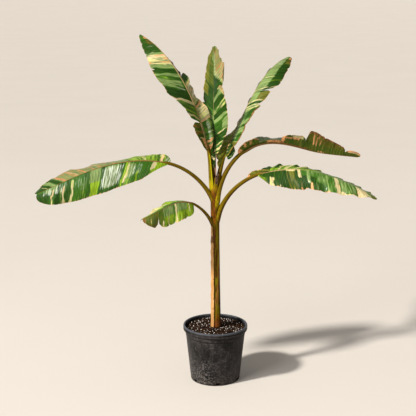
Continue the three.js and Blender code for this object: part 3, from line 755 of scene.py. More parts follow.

# %% [markdown]
# ## Where the colours lie
#
# A variegated leaf is painted in bands that follow its veins: cream where
# the tissue has no green, grey-green where only the upper layer is pale,
# and dark or bright green between. Some bands are painted light and shade:
# dark bands where a shadow falls on a blade, grey and sheen bands where its
# gloss shines, and bright olive where a blade is lit through from behind.
# Each band here is a stretch of veins and a share of the half's width. The
# bands are kept as values at the blade's points, and the finish breaks their
# edges into streaks along the veins.
# A band is (kind, from, to, strength), with its two ends as shares of the
# blade. A band that doesn't cross the whole half has two more numbers, its
# nearest and farthest share from midrib (0) to margin (1). Where the nearest
# is a pair, the band's edge slants from the first to the second, as at the
# fold of the middle leaf. Dark, light, grey and olive are broad: a later one
# of them damps the others under it.

# %% The bands of each leaf
BROAD_KINDS = ("dark", "light", "grey", "olive")
KINDS = BROAD_KINDS + ("pale", "warm", "dry", "bloom")
BANDS = {
    "upper_left": {
        "left": [
            ("olive", 0.93, 1, 0.4), ("warm", 0.93, 0.965, 0.8, 0, 0.45),
            ("dry", 0.865, 0.925, 0.5, 0, 0.5), ("pale", 0.875, 0.9, 0.35, 0, 0.5),
            ("dark", 0.78, 0.93, 0.55), ("bloom", 0.8, 0.87, 0.35, 0.1, 0.9), ("grey", 0.762, 0.782, 0.9),
            ("bloom", 0.765, 0.785, 0.7, 0.45, 1), ("bloom", 0.43, 0.47, 0.7, 0.05, 0.45),
            ("pale", 0.735, 0.762, 1), ("warm", 0.745, 0.762, 0.6, 0, 0.6), ("grey", 0.69, 0.735, 0.9),
            ("pale", 0.69, 0.735, 0.56), ("warm", 0.7, 0.735, 0.55, 0, 0.25), ("warm", 0.682, 0.694, 0.6),
            ("pale", 0.66, 0.684, 0.66), ("grey", 0.625, 0.66, 0.8), ("dark", 0.58, 0.625, 0.9),
            ("grey", 0.55, 0.58, 0.7), ("dark", 0.52, 0.55, 0.6, 0, 0.6),
            ("grey", 0.44, 0.52, 0.75, 0.1, 1), ("light", 0.44, 0.55, 0.35, 0.3, 1),
            ("dark", 0.42, 0.47, 0.6, 0, 0.4), ("dark", 0.352, 0.43, 0.95), ("pale", 0.325, 0.352, 1),
            ("warm", 0.33, 0.352, 0.5, 0.75, 1), ("light", 0.28, 0.315, 0.4), ("light", 0.24, 0.262, 0.6),
            ("pale", 0.215, 0.232, 0.8), ("dark", 0, 0.2, 1), ("olive", 0, 0.2, 0.5),
            ("dry", 0.165, 0.178, 0.8), ("dry", 0.125, 0.137, 0.8), ("pale", 0.085, 0.097, 0.6, 0, 0.8),
            ("warm", 0, 0.09, 1, 0, 0.6), ("pale", 0, 0.05, 0.6, 0.1, 0.5),
        ],
        "right": [
            # Some grey bands here, with the sheen bands, are partly painted highlight: the shine of the
            # gloss.
            ("dark", 0.54, 1, 0.8), ("grey", 0.62, 0.8, 0.5, 0, 0.7), ("dark", 0.49, 0.54, 1, 0.2, 1),
            ("grey", 0.42, 0.5, 0.95), ("pale", 0.44, 0.49, 0.62), ("warm", 0.41, 0.425, 0.7, 0.25, 0.9),
            ("grey", 0.33, 0.44, 0.9), ("pale", 0.33, 0.44, 0.62, 0.1, 1),
            ("bloom", 0.3, 0.42, 0.85, 0.2, 1), ("warm", 0.305, 0.325, 0.8, 0.1, 1),
            ("pale", 0.305, 0.318, 0.5), ("grey", 0.22, 0.305, 1), ("pale", 0.22, 0.33, 0.6, 0.1, 1),
            ("pale", 0.2, 0.222, 0.8), ("warm", 0.2, 0.215, 0.6), ("grey", 0.03, 0.2, 1, 0.5, 0.85),
            ("bloom", 0.05, 0.3, 0.9, 0.45, 0.78), ("bloom", 0.2, 0.3, 0.9, 0.3, 1),
            ("dark", 0.1, 0.17, 0.6, 0.05, 0.5), ("light", 0.12, 0.16, 0.4, 0.1, 0.5),
            ("warm", 0.055, 0.075, 0.8, 0.1, 0.9), ("warm", 0, 0.04, 0.7),
        ],
    },
    "centre": {
        "left": [
            ("olive", 0.6, 1, 0.75), ("dark", 0.6, 0.95, 0.65, 0, 0.6),
            ("grey", 0.86, 0.97, 0.7, 0, 0.35), ("dark", 0.42, 0.62, 0.95),
            ("olive", 0.5, 0.6, 0.8, 0.55, 1), ("grey", 0.33, 0.37, 0.6), ("dark", 0, 0.3, 0.7),
        ],
        "right": [
            ("dark", 0.53, 0.76, 1.2), ("grey", 0.42, 0.75, 1.2, (1.0, 0), 1), ("grey", 0.74, 0.97, 1),
            ("dry", 0.42, 0.76, 0.44, (1.0, 0.05), 1), ("dry", 0.75, 0.95, 0.48, 0.1, 1),
            ("pale", 0.42, 0.75, 0.52, (1.0, 0), 1), ("pale", 0.74, 0.96, 0.42, 0.02, 1),
            ("warm", 0.555, 0.575, 0.7, 0.5, 1), ("warm", 0.605, 0.62, 0.6, 0.4, 1),
            ("warm", 0.65, 0.665, 0.7, 0.3, 1), ("warm", 0.7, 0.712, 0.6, 0.3, 1),
            ("warm", 0.745, 0.757, 0.6, 0.3, 1), ("olive", 0.92, 1, 0.9, 0, 0.6),
            ("grey", 0.49, 0.53, 0.8, 0, 0.75), ("pale", 0.5, 0.515, 0.35, 0.2, 0.8),
            ("dark", 0.425, 0.485, 1), ("pale", 0.375, 0.425, 0.45), ("dark", 0.325, 0.375, 1),
            ("grey", 0.295, 0.325, 0.8), ("grey", 0.2, 0.28, 0.9, 0.6, 1),
            ("light", 0.2, 0.27, 0.2, 0.1, 0.6), ("dark", 0.2, 0.285, 0.5, 0, 0.6),
            ("pale", 0.185, 0.195, 0.7, 0.2, 1), ("dark", 0.1, 0.185, 0.95),
            ("pale", 0.128, 0.137, 0.5, 0.4, 1), ("pale", 0.085, 0.098, 0.6), ("pale", 0.04, 0.062, 0.8),
            ("pale", 0.012, 0.026, 0.7),
        ],
    },
    "upper_right": {
        "left": [
            # At the base, the olive, light and pale are partly painted light: the glow of the half lit
            # through from behind.
            ("dark", 0.3, 1, 0.7), ("olive", 0, 0.31, 1), ("light", 0, 0.31, 0.9, 0.05, 0.85),
            ("pale", 0, 0.31, 0.42), ("warm", 0.02, 0.24, 0.9, 0.93, 1), ("warm", 0.1, 0.13, 0.6, 0.8, 1),
            ("pale", 0.4, 0.42, 0.6),
        ],
        "right": [
            ("grey", 0.15, 1, 0.75, 0, 0.55), ("bloom", 0.84, 0.95, 0.7, 0.1, 0.5),
            ("dark", 0.44, 0.98, 0.95, 0.5, 1), ("olive", 0.85, 1, 0.8, 0.6, 1),
            ("dry", 0.86, 1, 0.7, 0.85, 1), ("warm", 0.93, 0.97, 0.6, 0.6, 1),
            ("pale", 0.78, 0.92, 0.62, 0.46, 0.52), ("pale", 0.69, 0.702, 0.6, 0.1, 0.6),
            ("light", 0.635, 0.655, 0.7, 0.5, 1), ("pale", 0.562, 0.576, 0.66),
            ("olive", 0.45, 0.53, 0.9, 0.5, 1), ("light", 0.44, 0.47, 0.5, 0.6, 1),
            ("pale", 0.452, 0.468, 0.66, 0, 0.9), ("dark", 0.432, 0.452, 0.9),
            ("pale", 0.415, 0.432, 0.64), ("pale", 0.385, 0.402, 0.62), ("grey", 0.4, 0.417, 0.8),
            ("light", 0.29, 0.37, 0.2, 0.1, 0.8), ("dark", 0.3, 0.385, 0.6),
            ("grey", 0.255, 0.29, 0.8, 0, 0.9), ("dark", 0.235, 0.255, 0.8),
            ("grey", 0.19, 0.235, 0.8, 0, 0.9), ("dark", 0.165, 0.18, 0.8),
            ("dry", 0.05, 0.38, 0.8, 0.9, 1), ("olive", 0, 0.13, 0.95),
        ],
    },
    "arching_right": {
        "left": [("grey", 0.08, 0.45, 0.9), ("dark", 0.45, 1, 0.5), ("pale", 0.5, 0.6, 0.8, 0.8, 1)],
        "right": [
            # The right half shows its underside: its olive and orange are partly painted light, the look
            # of a blade lit through from behind.
            ("dark", 0, 1, 0.75), ("olive", 0, 1, 0.48), ("olive", 0.54, 0.88, 0.8, 0.45, 1),
            ("dry", 0.56, 0.86, 0.34, 0.55, 1), ("dry", 0.44, 0.6, 0.5, 0, 0.1), ("warm", 0, 0.035, 0.8),
            ("warm", 0.065, 0.08, 0.7, 0.3, 1), ("warm", 0.1, 0.115, 0.8, 0.3, 1),
            ("warm", 0.03, 0.17, 0.7, 0.9, 1), ("warm", 0.22, 0.36, 0.75, 0.1, 1),
            ("pale", 0.25, 0.36, 0.45, 0.5, 1), ("dry", 0.24, 0.36, 0.5, 0, 0.35),
            ("pale", 0.4, 0.5, 0.85, 0.72, 0.98), ("warm", 0.36, 0.47, 0.7, 0.6, 0.8),
            ("dry", 0.32, 0.55, 0.8, 0, 0.12), ("warm", 0.582, 0.598, 0.75, 0.35, 0.95),
            ("warm", 0.612, 0.624, 0.75, 0.3, 0.95), ("warm", 0.638, 0.65, 0.6, 0.35, 0.95),
            ("dry", 0.52, 0.86, 0.8, 0.88, 1), ("warm", 0.535, 0.56, 0.8, 0.85, 1),
            ("warm", 0.565, 0.6, 0.6, 0.88, 1), ("warm", 0.66, 0.68, 0.6, 0.85, 1),
            ("dry", 0.76, 0.775, 0.7, 0.6, 1), ("warm", 0.8, 0.815, 0.6, 0.7, 1),
            ("warm", 0.64, 0.7, 0.5, 0, 0.14), ("warm", 0.86, 1, 0.7, 0.75, 1),
            ("pale", 0.88, 1, 0.8, 0.55, 1),
        ],
    },
    "lower_right": {
        "left": [
            # The strong dark bands are painted shadow, in the gaps of the ruffled margin.
            ("light", 0, 1, 0.55), ("pale", 0.165, 0.185, 0.7), ("pale", 0.215, 0.245, 0.7),
            ("pale", 0.3, 0.32, 0.8), ("dark", 0.03, 0.1, 1.3, 0.2, 1),
            ("dark", 0.13, 0.158, 1.3, 0.3, 1), ("dark", 0.33, 0.36, 1.3, 0.3, 1),
            ("dark", 0.255, 0.275, 1.3, 0.5, 1), ("dark", 0.39, 0.415, 1.3, 0.3, 1),
            ("warm", 0.46, 0.5, 0.6, 0.5, 1), ("grey", 0.45, 0.95, 0.6), ("dry", 0.85, 1, 0.4, 0.5, 1),
        ],
        "right": [
            # Over the near half's first half, the dark bands and the olive under them are a painted
            # shadow, cast by a leaf above.
            ("grey", 0.43, 0.66, 0.45), ("light", 0.53, 0.95, 0.25), ("olive", 0.02, 0.34, 0.8, 0.05, 1),
            ("dark", 0.02, 0.345, 1.2, 0.07, 1), ("dark", 0.345, 0.47, 1, 0.32, 1),
            ("dark", 0.47, 0.53, 0.6, 0.55, 1), ("light", 0, 0.085, 0.95, 0.6, 1),
            ("pale", 0.1, 0.135, 0.8, 0.45, 1), ("pale", 0.165, 0.18, 0.7, 0.85, 1),
            ("light", 0.1, 0.15, 0.25, 0.2, 0.45), ("olive", 0.235, 0.31, 0.62),
            ("dark", 0.235, 0.31, 0.45, 0.15, 1), ("pale", 0.235, 0.31, 0.9, 0, 0.12),
            ("pale", 0.325, 0.355, 0.85, 0, 0.45), ("dry", 0.33, 0.355, 0.34, 0.5, 1),
            ("warm", 0.335, 0.35, 0.6, 0.85, 1), ("grey", 0.4, 0.425, 0.8, 0, 0.7),
            ("warm", 0.415, 0.44, 0.8, 0.65, 1), ("warm", 0.525, 0.57, 0.6, 0.92, 1),
            ("pale", 0.625, 0.66, 1), ("pale", 0.64, 0.82, 0.9, 0.93, 1),
            ("pale", 0.665, 0.7, 0.8, 0.78, 1), ("grey", 0.66, 0.8, 0.5, 0, 0.9),
            ("pale", 0.805, 0.9, 0.8), ("grey", 0.825, 0.84, 0.7, 0, 0.9),
            ("warm", 0.86, 0.89, 0.4, 0.1, 0.7), ("pale", 0.9, 0.93, 0.6, 0.4, 1),
            ("olive", 0.93, 1, 0.7),
        ],
    },
    "broad_left": {
        "left": [
            # The grey bands among the sheen bands are partly painted highlight: the shine of the gloss.
            ("light", 0, 0.1, 0.6), ("pale", 0.095, 0.125, 1, 0, 0.7),
            ("light", 0.095, 0.125, 0.6, 0.6, 1), ("dark", 0.13, 0.225, 0.35),
            ("light", 0.2, 0.215, 0.9, 0.5, 1), ("grey", 0.24, 0.295, 0.7, 0.1, 0.75),
            ("bloom", 0.19, 0.275, 0.8, 0.15, 0.7), ("bloom", 0.33, 0.495, 1, 0.06, 0.86),
            ("bloom", 0.6, 0.7, 0.6, 0.15, 0.55), ("bloom", 0.76, 0.95, 0.8, 0.05, 0.5),
            ("light", 0.24, 0.29, 0.4, 0.7, 1), ("pale", 0.285, 0.302, 0.8, 0.05, 0.9),
            ("light", 0.3, 0.318, 0.9), ("dark", 0.33, 0.36, 0.7), ("grey", 0.365, 0.47, 0.8, 0.05, 0.85),
            ("dark", 0.47, 0.5, 0.6), ("light", 0.505, 0.575, 0.8, 0.35, 1),
            ("grey", 0.505, 0.585, 0.9, 0, 0.5), ("dark", 0.58, 0.63, 0.5, 0, 0.7),
            ("grey", 0.6, 0.66, 0.4, 0.2, 0.7), ("light", 0.6, 0.7, 0.3, 0.65, 1),
            ("pale", 0.708, 0.728, 0.75, 0.1, 1), ("dark", 0.73, 0.77, 0.6),
            ("pale", 0.775, 0.793, 0.85, 0.2, 1), ("pale", 0.8, 0.808, 0.5, 0.3, 1),
            ("dark", 0.81, 0.85, 0.7), ("pale", 0.86, 0.876, 0.75, 0.2, 1),
            ("dark", 0.885, 1, 0.6, 0.2, 1), ("grey", 0.83, 0.93, 0.6, 0, 0.35),
        ],
        "right": [
            ("light", 0, 0.3, 0.55), ("grey", 0, 0.045, 0.9), ("bloom", 0, 0.04, 0.7, 0.2, 1),
            ("pale", 0.055, 0.08, 0.8), ("dark", 0.08, 0.1, 0.5), ("pale", 0.17, 0.2, 0.5),
            ("olive", 0.3, 0.8, 0.4), ("dry", 0.38, 0.8, 0.44), ("grey", 0.3, 0.8, 0.75),
            ("pale", 0.38, 0.8, 0.38), ("bloom", 0.4, 0.8, 0.45), ("warm", 0.4, 0.412, 0.7),
            ("pale", 0.5, 0.515, 0.7), ("warm", 0.55, 0.562, 0.8), ("warm", 0.615, 0.63, 0.85),
            ("pale", 0.67, 0.688, 0.7), ("warm", 0.675, 0.7, 0.6), ("warm", 0.765, 0.79, 0.8),
            ("dark", 0.8, 1, 0.7), ("grey", 0.84, 0.88, 0.8), ("pale", 0.905, 0.92, 0.5),
        ],
    },
    "old_lower_left": {
        "left": [
            ("olive", 0, 1, 0.45), ("light", 0, 0.6, 0.62, 0.1, 1), ("grey", 0.15, 0.6, 0.6, 0, 0.5),
            ("pale", 0.1, 0.125, 0.7, 0, 0.7), ("pale", 0.345, 0.375, 0.95), ("dark", 0.38, 0.42, 0.4),
            ("pale", 0.5, 0.525, 0.7, 0.35, 1), ("pale", 0.61, 0.63, 0.7, 0.6, 1),
            ("dry", 0.5, 0.75, 0.3, 0, 0.2), ("olive", 0.7, 1, 0.75), ("grey", 0.74, 0.95, 0.5, 0.1, 0.8),
            ("dry", 0.94, 1, 0.6), ("pale", 0.84, 0.86, 0.5, 0.3, 1),
        ],
        "right": [
            ("light", 0.1, 0.9, 0.6, 0.2, 1), ("pale", 0.4, 0.75, 0.6, 0.35, 1), ("dry", 0.85, 1, 0.5),
            ("dark", 0.1, 0.14, 0.5),
        ],
    },
}
EDGE_ALONG = 0.016  # over how much of the blade a band's edge fades
EDGE_ACROSS = 0.12
BAND_DAMP = 0.6  # how far a band damps another broad kind
MARGIN_TAN, MARGIN_FROM = 0.5, 0.955  # how tan the margin is, and where it starts
WAVER = [(1.3, 9, 0.006), (2.9, 23, 0.003)]  # waves across and along, and their size


def eased(x):
    x = np.clip(x, 0, 1)
    return x * x * (3 - 2 * x)


def band_values(bands, t, u):
    """How much of each kind lies at each point of a half."""
    values = {kind: np.zeros_like(t) for kind in KINDS}
    waver = sum(np.sin(2 * math.pi * (a * u + b * t)) * size for a, b, size in WAVER)
    t = t + waver * u
    for kind, t0, t1, strength, *span in bands:
        u0, u1 = span or (0, 1)
        fade = min(EDGE_ALONG, 0.9 * (t1 - t0))
        here = eased((t - t0) / fade + 0.5) * eased((t1 - t) / fade + 0.5)
        if np.ndim(u0):
            here = here * eased((u - np.interp(t, (t0, t1), u0)) / EDGE_ACROSS + 0.5)
        elif u0 > 0:
            here = here * eased((u - u0) / EDGE_ACROSS + 0.5)
        if u1 < 1:
            here = here * eased((u1 - u) / EDGE_ACROSS + 0.5)
        values[kind] = np.maximum(values[kind], here * strength)
        for other in BROAD_KINDS:
            if kind in BROAD_KINDS and other != kind:
                values[other] = values[other] * (1 - BAND_DAMP * here * strength)
    values["warm"] = np.maximum(values["warm"], MARGIN_TAN * eased((u - MARGIN_FROM) / 0.04))
    return values


print("bands:", sum(len(b) for leaf in BANDS.values() for b in leaf.values()))

# %% [markdown]
# ## The leaf's finish
#
# A banana leaf is waxy, ribbed and glossy on top, and duller below. The
# bands give the broad pattern. Noise that is stretched along the veins then
# frays every edge, as the real pattern frays, because the pale cells divide
# along the veins. Parallel veins raise the surface a little, and the shine
# breaks on them.

# %% Leaf finish
LEAF_COLOURS = {
    "mid": (0.048, 0.152, 0.010),
    "deep": (0.028, 0.088, 0.011),
    "dark": (0.014, 0.047, 0.004),
    "light": (0.230, 0.370, 0.014),
    "grey": (0.180, 0.258, 0.082),
    "olive": (0.115, 0.115, 0.012),
    "pale": (0.590, 0.500, 0.275),
    "warm": (0.640, 0.300, 0.130),
    "dry": (0.200, 0.090, 0.026),
    # This whitish colour is painted sheen: a highlight of the gloss, painted into the colour.
    "bloom": (0.500, 0.560, 0.470),
    "below": (0.085, 0.105, 0.008),
}
VEIN_MAP = "veins"
FINE_VEINS = 0.0062  # from one raised vein to the next, in metres
FINE_GRAIN = (430.0, 17.0, 0.0)  # how close its streaks lie, and how short they are
MIDDLE_GRAIN = (150.0, 19.0, 0.0)
BROAD_GRAIN = (38.0, 13.0, 0.0)


def leaf_finish():
    leaf = Finish("banana_leaf", Specular_IOR_Level=0.09, Coat_Roughness=0.20)
    colours = LEAF_COLOURS
    flat = leaf.node("ShaderNodeUVMap", {"uv_map": VEIN_MAP})
    fine = leaf.noise(leaf.stretched(flat, FINE_GRAIN), 1.0)
    middle = leaf.noise(leaf.stretched(flat, MIDDLE_GRAIN), 1.0, 2.0)
    broad = leaf.noise(leaf.stretched(flat, BROAD_GRAIN), 1.0, 2.0)
    specks = leaf.noise(leaf.places(), 240.0, 2.0)
    kinds = {kind: leaf.attribute(kind) for kind in KINDS}
    face = leaf.attribute("face")
    streak = (middle - 0.5) * 2.6 + (fine - 0.5) * 1.5

    def frayed(kind, start, end):
        return (kinds[kind] + streak * 0.42).ease(start, end)

    thin = (streak + (broad - 0.5) * 0.8).ease(0.34, 0.50) * (1 - kinds["dark"])
    # Painted sheen: whitish streaks of painted highlight where the gloss shines.
    bloom = (kinds["bloom"] * 0.9 + (middle - 0.5) * 2.6 + (fine - 0.5) * 2.0).ease(0.55, 1.25)
    colour = leaf.coats(
        colours["mid"],
        colours,
        ((broad + streak * 0.25).ease(0.38, 0.62), "deep"),
        (frayed("light", 0.26, 0.68) * 0.92, "light"),
        (frayed("dark", 0.26, 0.68) * 0.92, "dark"),
        (frayed("grey", 0.26, 0.68) * 0.92, "grey"),
        (frayed("olive", 0.26, 0.68) * 0.92, "olive"),
        (thin * 0.45, "grey"),
        ((1 - face) * 0.30, "below"),
        (bloom * kinds["bloom"] * face * 0.85, "bloom"),
    )
    cream = leaf.coats(
        colours["pale"],
        colours,
        (streak.ease(0.05, 0.45) * 0.65, "light"),
        ((broad - 0.5).ease(0.0, 0.15) * 0.35, "warm"),
    )
    colour = leaf.mix(frayed("pale", 0.36, 0.66) * 0.95, colour, cream)
    dry = frayed("dry", 0.32, 0.68)
    colour = leaf.coats(
        colour,
        colours,
        (frayed("warm", 0.34, 0.66) * 0.9, "warm"),
        (dry * 0.92, "dry"),
        (specks.ease(0.70, 0.78) * 0.5, "dry"),
    )
    tone = 1.0 + (middle - 0.5) * 1.5 + (fine - 0.5) * 1.1 + (broad - 0.5) * 0.9
    colour = leaf.shade(colour, tone.most(0.4).least(1.7))

    ribs = (leaf.part(flat, 0) * (2 * math.pi / FINE_VEINS)).wave() * 0.5 + fine * 1.1
    matt = dry.most(kinds["olive"] * 0.7)
    roughness = 0.30 + 0.18 * middle + 0.25 * matt + 0.12 * (1 - face)
    coat = (0.05 + 0.3 * kinds["grey"] + 0.5 * kinds["bloom"]) * face
    coat = coat * (1 - matt) * (1 - 0.8 * kinds["dark"])
    return leaf.finish(colour, roughness, ribs, depth=0.0011, strength=0.7, coat=coat)


LEAF = leaf_finish()

# %% [markdown]
# ## Blades
#
# The two halves of a blade share one mesh. Each point knows how much of
# every band it has, and where it lies on the flat map of the veins.

# %% Build the seven blades
SIDES = {"left": 1, "right": -1}


def blade_mesh(name, leaf, rng):
    sheaf = Sheaf()
    across, along = [], []
    for side_name, side in SIDES.items():
        half = leaf[side_name]
        for rings, t, u, face, width in half_points(leaf, half, side, rng):
            points, faces = skinned(rings * MM)
            values = band_values(BANDS[name][side_name], t, u)
            sheaf.add(points, faces, face=face, **values)
            across.append(t * leaf["blade"] * MM)
            along.append(u * width * side * MM)
    mesh = sheaf.mesh("blade_" + name, sharp=60)
    lay_out(mesh, VEIN_MAP, np.concatenate(across), np.concatenate(along))
    return mesh


for number, (name, leaf) in enumerate(LEAVES.items()):
    rng = np.random.default_rng(100 + number)
    placed("leaf_" + name, blade_mesh(name, leaf, rng), LEAF, ["blade_" + name])

# %% [markdown]
# ## Stalks and midribs
#
# The stalk and the midrib are one rib: it starts as a clasp on the stem, is
# hollowed on top like a gutter, and runs out thin at the leaf's tip. It
# follows a path, so a tree of nodes sweeps one hollowed round along it. The
# path's points carry the rib's thickness and how far along they are.

# %% The rib's tree
RIB_ROUND = 28  # points round a rib
GUTTER_EDGE = 0.72  # how far out the gutter reaches


def rib_tree():
    rib = Shaper("Rib", {"Round": "Int", "Hollow": "Float", "Turn": "Vector", "Material": "Material"})
    path = rib.node("GeometryNodeMeshToCurve", None, {0: rib.given("Geometry")})
    path = rib.node("GeometryNodeSetCurveNormal", {"mode": "Z_UP"}, {"Curve": path})
    thick = rib.node("GeometryNodeInputNamedAttribute", {"data_type": "FLOAT"}, {"Name": "thick"})
    circle = rib.node(
        "GeometryNodeCurvePrimitiveCircle",
        {"mode": "RADIUS"},
        {"Resolution": rib.given("Round"), "Radius": 1.0},
    )
    place = rib.node("GeometryNodeInputPosition")
    sideways = rib.node("ShaderNodeSeparateXYZ", None, {0: place})
    height = rib.node("ShaderNodeSeparateXYZ", None, {0: place}, out=1)
    height = rib.sum_node("MAXIMUM", height, 0.0)
    sideways = rib.sum_node("ABSOLUTE", sideways)
    dip = rib.node(
        "ShaderNodeMapRange",
        {"interpolation_type": "SMOOTHSTEP"},
        {"Value": sideways, "From Min": GUTTER_EDGE, "From Max": 0.0},
    )
    dip = rib.sum_node("MULTIPLY", dip, rib.given("Hollow"))
    dip = rib.sum_node("MULTIPLY", dip, height)
    down = rib.sum_node("MULTIPLY", dip, -1.0)
    move = rib.node("ShaderNodeCombineXYZ", None, {1: down})
    profile = rib.node("GeometryNodeSetPosition", None, {"Geometry": circle, "Offset": move})
    around = rib.node("GeometryNodeSplineParameter")
    profile = rib.node(
        "GeometryNodeStoreNamedAttribute",
        {"data_type": "FLOAT", "domain": "POINT"},
        {"Geometry": profile, "Name": "around", "Value": around},
    )
    profile = rib.node(
        "GeometryNodeTransform", None, {"Geometry": profile, "Rotation": rib.given("Turn")}
    )
    swept = rib.node(
        "GeometryNodeCurveToMesh",
        None,
        {"Curve": path, "Profile Curve": profile, "Scale": thick, "Fill Caps": True},
    )
    smooth = rib.node("GeometryNodeSetShadeSmooth", None, {"Geometry": swept})
    rib.end(smooth)
    return rib


RIB = rib_tree()
print("rib tree:", len(RIB.tree.nodes), "nodes")


def path_mesh(name, points, **values):
    """A line of points that carries its thickness and other numbers."""
    mesh = bpy.data.meshes.new(name)
    edges = [(i, i + 1) for i in range(len(points) - 1)]
    mesh.from_pydata(points.tolist(), edges, [])
    for kind, numbers in values.items():
        store(mesh, kind, numbers)
    return mesh


# %% [markdown]
# ## The stalk's finish
#
# A stalk is yellow-green where it is young and turns brown along its edges
# and where it has been rubbed; the brown along its underside is painted
# shade. Fine lines run along it. The colour follows the two numbers that the
# sweep left: `along`, which is below 1 on the stalk and above 1 on the
# midrib, and `around`.

# %% Stalk finish and ribs
STALK_COLOURS = {
    "green": (0.128, 0.086, 0.002),
    "yellow": (0.400, 0.315, 0.003),
    "brown": (0.066, 0.026, 0.002),
    "cream": (0.520, 0.390, 0.200),
    "tan": (0.200, 0.090, 0.030),
    "rust": (0.240, 0.085, 0.020),
    "lime": (0.480, 0.460, 0.008),
}
LIME_TURN = 0.75  # which side is bright, on the stalk whose yellow is 0.60


def stalk_finish():
    stalk = Finish("stalk_skin", Specular_IOR_Level=0.04)
    colours = STALK_COLOURS
    place = stalk.places()
    along, around = stalk.attribute("along"), stalk.attribute("around")
    run = stalk.node("ShaderNodeCombineXYZ", None, {0: around * 42.0, 1: along * 7.0})
    lines = stalk.noise(run, 1.0)
    blotch = stalk.noise(place, 26.0, 3.0)
    specks = stalk.noise(place, 210.0, 2.0)
    youth = stalk.attribute("young")
    young = youth * (1 - along.ease(0.0, 0.42))
    yellow = ((lines - 0.5) * 2.2 + (blotch - 0.5) * 0.6 + young).ease(0.18, 0.62)
    turn = around * (2 * math.pi)
    # edges is brown along the top and the underside; on the underside it is painted shade.
    edges = turn.wave()
    edges = (edges * edges).ease(0.25, 0.95)
    brown = edges * 0.80 + (blotch - 0.5) * 1.3 + (lines - 0.5) * 2.4 - young * 0.35
    clasp = 1 - along.ease(-0.9, -0.05) + (lines - 0.5) * 1.2
    lime = (turn + LIME_TURN).wave().ease(0.86, 0.97)
    lime = lime * youth.ease(0.50, 0.58) * (1 - youth.ease(0.62, 0.66))
    lime = lime * along.ease(0.05, 0.20) * (1 - along.ease(0.85, 0.97))
    colour = stalk.coats(
        colours["green"],
        colours,
        (yellow, "yellow"),
        (brown.ease(0.06, 0.55) * 0.92, "brown"),
        (clasp.ease(0.15, 0.80) * 0.9, "brown"),
        (lime * 0.9, "lime"),
    )
    midrib = stalk.mix(stalk.attribute("tan"), colours["cream"], colours["tan"])
    midrib = stalk.mix((lines - 0.5).ease(-0.1, 0.2) * 0.5, midrib, colours["green"])
    colour = stalk.mix(along.ease(1.0, 1.12) * 0.85, colour, midrib)
    colour = stalk.mix(specks.ease(0.64, 0.74) * 0.7, colour, colours["rust"])
    height = lines * 0.7 + specks * 0.3
    return stalk.finish(colour, 0.38 + 0.25 * blotch, height, depth=0.0009, strength=0.7)


STALK = stalk_finish()
STEM_FOOT, STEM_TOP = 236.3, 850.0
STEM_RADII = [22.5, 20.5, 19.5, 19, 19.5, 20.5]
STEM_LEAN = [3, 0, -3]
FLARE = 0.30  # how much a stalk widens where it clasps the stem
FLARE_LENGTH = 45.0
CLASP_DEPTH, CLASP_IN = 62.0, 7.0  # how far a clasp runs down, and inwards
CLASP_ROWS, STALK_ROWS, BLADE_ROWS = 16, 56, 90  # points along a rib
RIB_END, HANG_EASE = 0.985, 0.08  # where on the blade it ends, and hangs in full
RIB_LOOKS = {  # yellow at the foot, tan of the midrib, how far it hangs, how slender
    "upper_left": (0.60, 0.30, 0.2, 1.2),
    "centre": (0.30, 0.30, 1.3, 1.6),
    "upper_right": (0.68, 0.25, 0.3, 1.6),
    "arching_right": (0.36, 0.75, 0.9, 3.0),
    "lower_right": (0.30, 0.15, 0.9, 2.6),
    "broad_left": (0.20, 0.85, 0.5, 1.8),
    "old_lower_left": (0.05, 0.75, 0.4, 1.6),
}
RIB_HOLLOW = 0.9
RIB_TURN = (0.0, 0.0, math.pi)


def stem_centre(height):
    h = (height - STEM_FOOT) / (STEM_TOP - STEM_FOOT)
    return keyed(STEM_LEAN, h), keyed(STEM_RADII, h)


def clasp_points(leaf, foot, thick):
    """The rib below its foot, sinking into the stem, and its radii."""
    sink = np.linspace(1, 0, CLASP_ROWS, endpoint=False)
    turn = math.radians(leaf["bearing"])
    inward = np.array([math.cos(turn), math.sin(turn), 0]) * CLASP_IN
    down = np.array([0, 0, CLASP_DEPTH])
    points = foot - sink[:, None] * inward - sink[:, None] * down
    return points, thick * (1 - 0.55 * sink), -sink


def rib_mesh(name, leaf):
    young, tan, hang, slender = RIB_LOOKS[name]
    on_stalk = np.linspace(0, 1, STALK_ROWS)
    on_blade = np.linspace(0, RIB_END, BLADE_ROWS)[1:]
    stalk_points = stalk_path(leaf, on_stalk)[0]
    blade_points, _, _, above = blade_path(leaf, on_blade)
    wide, neck, tip = leaf["radii"]
    flare = 1 + FLARE * np.exp(-on_stalk * leaf["stalk"] / FLARE_LENGTH)
    stalk_thick = (wide + (neck - wide) * on_stalk) * flare
    keel = tip * 0.4 + (neck - tip * 0.4) * (1 - on_blade) ** (1 + slender)
    drop = (hang * keel * eased(on_blade / HANG_EASE))[:, None]
    clasp, clasp_thick, below = clasp_points(leaf, stalk_points[0], stalk_thick[0])
    points = np.vstack([clasp, stalk_points, blade_points - above * drop]) * MM
    thick = np.concatenate([clasp_thick, stalk_thick, keel]) * MM
    along = np.concatenate([below, on_stalk, 1 + on_blade])
    whole = np.ones_like(along)
    path = path_mesh(
        "rib_" + name, points, thick=thick, along=along, young=whole * young, tan=whole * tan
    )
    return RIB.grown(
        "rib_" + name, path, Round=RIB_ROUND, Hollow=RIB_HOLLOW, Turn=RIB_TURN, Material=STALK
    )


for name, leaf in LEAVES.items():
    placed("rib_" + name, rib_mesh(name, leaf), STALK, ["stalk_" + name])

# %% [markdown]
# ## The stem
#
# A banana has no woody trunk. Its stem is the bases of its leaves, rolled
# round each other like the leaves of a leek. Each base ends in an edge that
# climbs round the stem. The skin here swells over each wrapped base and
# steps down at its edge.

